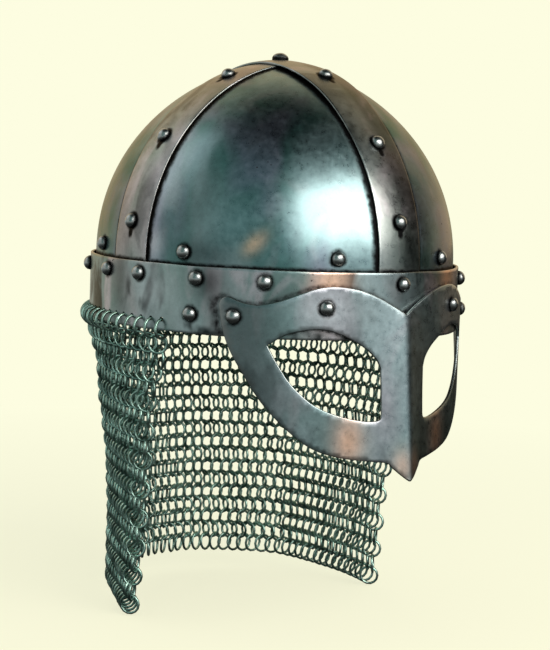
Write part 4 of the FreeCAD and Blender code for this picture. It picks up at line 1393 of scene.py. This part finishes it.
def mail_steel():
    """Drawn steel wire, blacked and oiled, rubbed on its high sides.

    Each ring shows a thin bright line on dark grey-green wire.
    """
    material, tree, place = new_material("oiled_steel_wire")
    patches, spots = (
        add_node(tree, "TexNoise", {"Vector": place, "Scale": 1.0 / width, "Detail": detail})
        for width, detail in ((wire_patch, 3.0), (wire_spot, 2.0))
    )
    colour = "#c6ebdf"
    for value, start, end, most, laid in (
        (patches, 0.35, 0.65, 1.0, "#6a877e"), (spots, 0.55, 0.75, 0.6, "#26241d"),
    ):
        share = add_node(tree, "MapRange", [value, start, end, 0.0, most])
        colour = add_node(tree, "Mix", {0: share, 6: colour, 7: laid}, data_type="RGBA")
    dull = add_node(tree, "MapRange", [spots, 0.0, 1.0, 0.27, 0.5])
    feed(tree, tree.nodes["Principled BSDF"], {"Base Color": colour, "Metallic": 1.0, "Roughness": dull})
    return material


wire_steel = mail_steel()
wire_ring_tree = ring_tree()
hanger_rows = []
for i in range(ring_columns):
    place, outward = oval_seat(column_deg(i), hanger_round, hanger_z)
    hanger_rows.append((place, math.atan2(outward.y, outward.x)))
hangers = pegs("hanger_ring_wire", hanger_rows, "turn", "FLOAT")
grow(hangers, wire_ring_tree, {
    "Ring Radius": ring_radius, "Wire Radius": wire_radius, "Segments": 20, "Wire Sides": 7,
    "Looseness": 0.03, "Seed": 3, "Material": wire_steel,
})
settle(hangers, 80.0)
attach(hangers, "helmet")
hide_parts("hanger_rings")


# Mail curtain
# Nineteen rows of butted steel rings, each through two above and two below.
# The rows lean one way and the other by turns, and the curtain draws together below the jaw. The rings are
# kept in four pieces: a flap on each side past two rear corners, and the back in two halves.
mail_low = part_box("mail_back")[0]
mail_rows = 19
row_drop = (ring_hole_rise - band_height - 2.0 * ring_radius - wire_radius - mail_low.z) / mail_rows
mail_draw_in = 15.5 * mm
mail_axis_z = -42.0 * mm
mail_inset = 1.6 * mm
fold_depth = 1.1 * mm
hem_rise_share = 0.03
edge_sag_share = 0.078
corner_deg = 132.0
drape_columns = 12.0
hem_deg_back = 4.1
hem_deg_flap_left = 2.9
hem_deg_flap_right = 2.25
ring_lean_deg = 27.0
ring_lean_per_mm = 7.5
ring_lean_pitch = 7.2 * mm
ring_lean_least, ring_lean_most = 22.0, 48.0
fall_shares = (
    (0.0, 0.10), (0.08, 0.32), (0.26, 0.53), (0.48, 0.86), (0.68, 0.98), (1.0, 1.0),
)
edge_shares_left = (
    (0.0, 0.0), (0.14, 0.11), (0.29, 0.25), (0.48, 0.54), (0.68, 0.79), (1.0, 1.0),
)
edge_shares_right = (
    (0.0, 0.0), (0.12, 0.22), (0.25, 0.40), (0.55, 0.67), (0.80, 0.83), (1.0, 1.0),
)


def between(shares, at):
    """Reads a table of shares at a place between its rows."""
    for (a, u), (b, v) in zip(shares, shares[1:]):
        if at <= b:
            return u + (v - u) * max(at - a, 0.0) / (b - a)
    return shares[-1][1]


def ring_place(column, z):
    """Angle from the back, place and outward direction of a ring of the curtain."""
    fallen = max(mail_axis_z - z, 0.0) / (mail_axis_z - mail_low.z)
    on_left = column > 0.0
    drape = between(edge_shares_left if on_left else edge_shares_right, fallen)
    count = abs(column)
    top = (360.0 - 2.0 * mail_start_deg) / (ring_columns - 1.0) * count
    hem_deg_flap = hem_deg_flap_left if on_left else hem_deg_flap_right
    hem = hem_deg_back * min(count, drape_columns) + hem_deg_flap * max(count - drape_columns, 0.0)
    back_deg = top + (hem - top) * drape
    radius = hanger_round - mail_draw_in * between(fall_shares, fallen)
    radius -= mail_inset * min(8.0 * fallen, 1.0)
    # slack gathers in shallow upright folds towards the hem
    radius += fold_depth * drape * math.sin(math.radians(back_deg * 9.0 + 30.0 * on_left))
    place, outward = oval_seat(180.0 - back_deg, radius, z)
    if column < 0.0:
        place.x = -place.x
        outward.x = -outward.x
    return back_deg, place, outward


mail_parts = {"right": [], "back_right": [], "back_left": [], "left": []}
for row in range(1, mail_rows + 1):
    count = ring_columns - row % 2
    for i in range(count):
        column = i - (count - 1.0) / 2.0
        # towards the free edges the rings hang straighter and reach lower
        outer = (2.0 * abs(column) / ring_columns) ** 2.0
        z = hanger_z - row_drop * row * (1.0 - hem_rise_share + edge_sag_share * outer)
        back_deg, place, outward = ring_place(column, z)
        beside = ring_place(column + (1.0 if column < 0.0 else -1.0), z)[1]
        lean = ring_lean_deg + ring_lean_per_mm * (ring_lean_pitch - (beside - place).length) / mm
        lean = math.radians(min(max(lean, ring_lean_least), ring_lean_most))
        side = "left" if column > 0.0 else "right"
        part = side if back_deg > 180.0 - corner_deg else "back_" + side
        turn = math.atan2(outward.y, outward.x) + (lean if row % 2 else -lean) + math.pi / 2.0
        mail_parts[part].append((place, turn))
for name, body, nodes, from_deg, to_deg in (
    ("right", "mail_right", ("mail_flap_right", "mail_corner_right"), -corner_deg, -112.0),
    ("left", "mail_left", ("mail_flap_left", "mail_corner_left"), corner_deg, 112.0),
    ("back_right", "mail_rear", ("mail_back",), -corner_deg, -156.0),
    ("back_left", "mail_rear", ("mail_back",), corner_deg, 156.0),
):
    rings = pegs("mail_rings_" + name, mail_parts[name], "turn", "FLOAT")
    grow(rings, wire_ring_tree, {
        "Ring Radius": ring_radius, "Wire Radius": wire_radius, "Segments": 14, "Wire Sides": 5,
        "Looseness": 0.09, "Seed": 11, "Material": wire_steel,
    })
    settle(rings, 80.0)
    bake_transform(rings)
    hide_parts(*nodes)


# Floor, background and lamps
# A pale floor under the hem and a cream surround that metal shows too. Round the
# sides metal sees a dim studio with a grey reflector, a dark side and ceiling.
floor_half = 6.0
floor_gap = 1.0 * mm
background = "#fdfde1"
studio_wall = "#71938f"

floor_z = min(cad_box[0].z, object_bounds()[0].z) - floor_gap
floor = bare_piece(
    "floor",
    [(x * floor_half, y * floor_half, floor_z) for x, y in ((-1, -1), (1, -1), (1, 1), (-1, 1))],
    [(0, 1, 2, 3)],
)
floor_paper = bpy.data.materials.new("cream_paper")
floor_paper.use_nodes = True
tree = floor_paper.node_tree
tree.nodes.clear()
place = add_node(tree, "TexCoord").outputs["Object"]
rays = add_node(tree, "LightPath").outputs
away = add_node(tree, "VectorMath", [place], operation="LENGTH")
lit = add_node(tree, "BsdfDiffuse", {"Color": background})
glow = add_node(tree, "Emission", {"Color": background, "Strength": 1.0})
far = add_node(tree, "MapRange", [away, 0.25, 0.8, 0.75, 1.0])
seen = add_node(tree, "Math", [rays["Is Camera Ray"], far], operation="MULTIPLY")
paper = add_node(tree, "MixShader", [seen, lit, glow])
# Metal sees the paper dim where the object stands on it and pale towards the horizon.
paleness = add_node(tree, "MapRange", [away, 0.35, 1.7, 0.04, 0.75])
towards = add_node(tree, "VectorMath", [place], operation="NORMALIZE")
dark_side = add_node(tree, "VectorMath", [towards, direction(88.0, 0.0)], operation="DOT_PRODUCT")
unlit = add_node(tree, "MapRange", [dark_side, 0.35, 0.85, 1.0, 0.06], interpolation_type="SMOOTHSTEP")
dimmed = add_node(tree, "Math", [paleness, unlit], operation="MULTIPLY")
mirrored = add_node(tree, "Emission", {"Color": "#e9f1ea", "Strength": dimmed})
by_mirror = add_node(tree, "MixShader", [rays["Is Glossy Ray"], paper, mirrored])
add_node(tree, "OutputMaterial", {"Surface": by_mirror})
floor.data.materials.append(floor_paper)

world = bpy.data.worlds.new("studio")
bpy.context.scene.world = world
world.use_nodes = True
tree = world.node_tree
tree.nodes.clear()
away = add_node(tree, "TexCoord").outputs["Generated"]
rays = add_node(tree, "LightPath").outputs
studio = studio_wall
for deg, rise_deg, outer_deg, inner_deg, colour in (
    (-4.0, 2.0, 56.0, 34.0, "#c0cfd2"),
    (-134.0, 14.0, 50.0, 34.0, "#cfd2cc"),
    (78.0, 20.0, 58.0, 26.0, "#1d1c19"),
    (141.6, 12.0, 78.0, 26.0, "#ead6b4"),
    (-38.0, 90.0, 44.0, 14.0, "#15191a"),
):
    facing_it = add_node(tree, "VectorMath", [away, direction(deg, rise_deg)], operation="DOT_PRODUCT")
    edges = [math.cos(math.radians(reach_deg)) for reach_deg in (outer_deg, inner_deg)]
    within = add_node(tree, "MapRange", [facing_it, *edges], interpolation_type="SMOOTHSTEP")
    studio = add_node(tree, "Mix", {0: within, 6: studio, 7: colour}, data_type="RGBA")
mirror, soft, shown = (
    add_node(tree, "Background", {"Color": colour, "Strength": strength})
    for colour, strength in ((studio, 1.0), ("#f4f4ee", 0.55), (background, 1.0))
)
by_mirror = add_node(tree, "MixShader", [rays["Is Glossy Ray"], soft, mirror])
by_camera = add_node(tree, "MixShader", [rays["Is Camera Ray"], by_mirror, shown])
add_node(tree, "OutputWorld", {"Surface": by_camera})

for name, deg, rise_deg, distance, width, tall, watts, colour in (
    ("key_lamp", 0.0, 28.0, 1.3, 1.4, 0.8, 17.0, "#fff6ec"),
    ("left_lamp", -140.0, 40.0, 1.4, 0.8, 0.8, 1.0, "#f4f8ff"),
):
    lamp = in_scene(name, bpy.data.lights.new(name, "AREA"))
    lamp.data.shape = "RECTANGLE"
    lamp.data.size = width
    lamp.data.size_y = tall
    lamp.data.energy = watts
    lamp.data.color = linear(colour)[:3]
    way = direction(deg, rise_deg)
    lamp.location = way * distance
    lamp.rotation_mode = "QUATERNION"
    lamp.rotation_quaternion = way.to_track_quat("Z", "Y")

bpy.context.scene.view_settings.view_transform = "Standard"
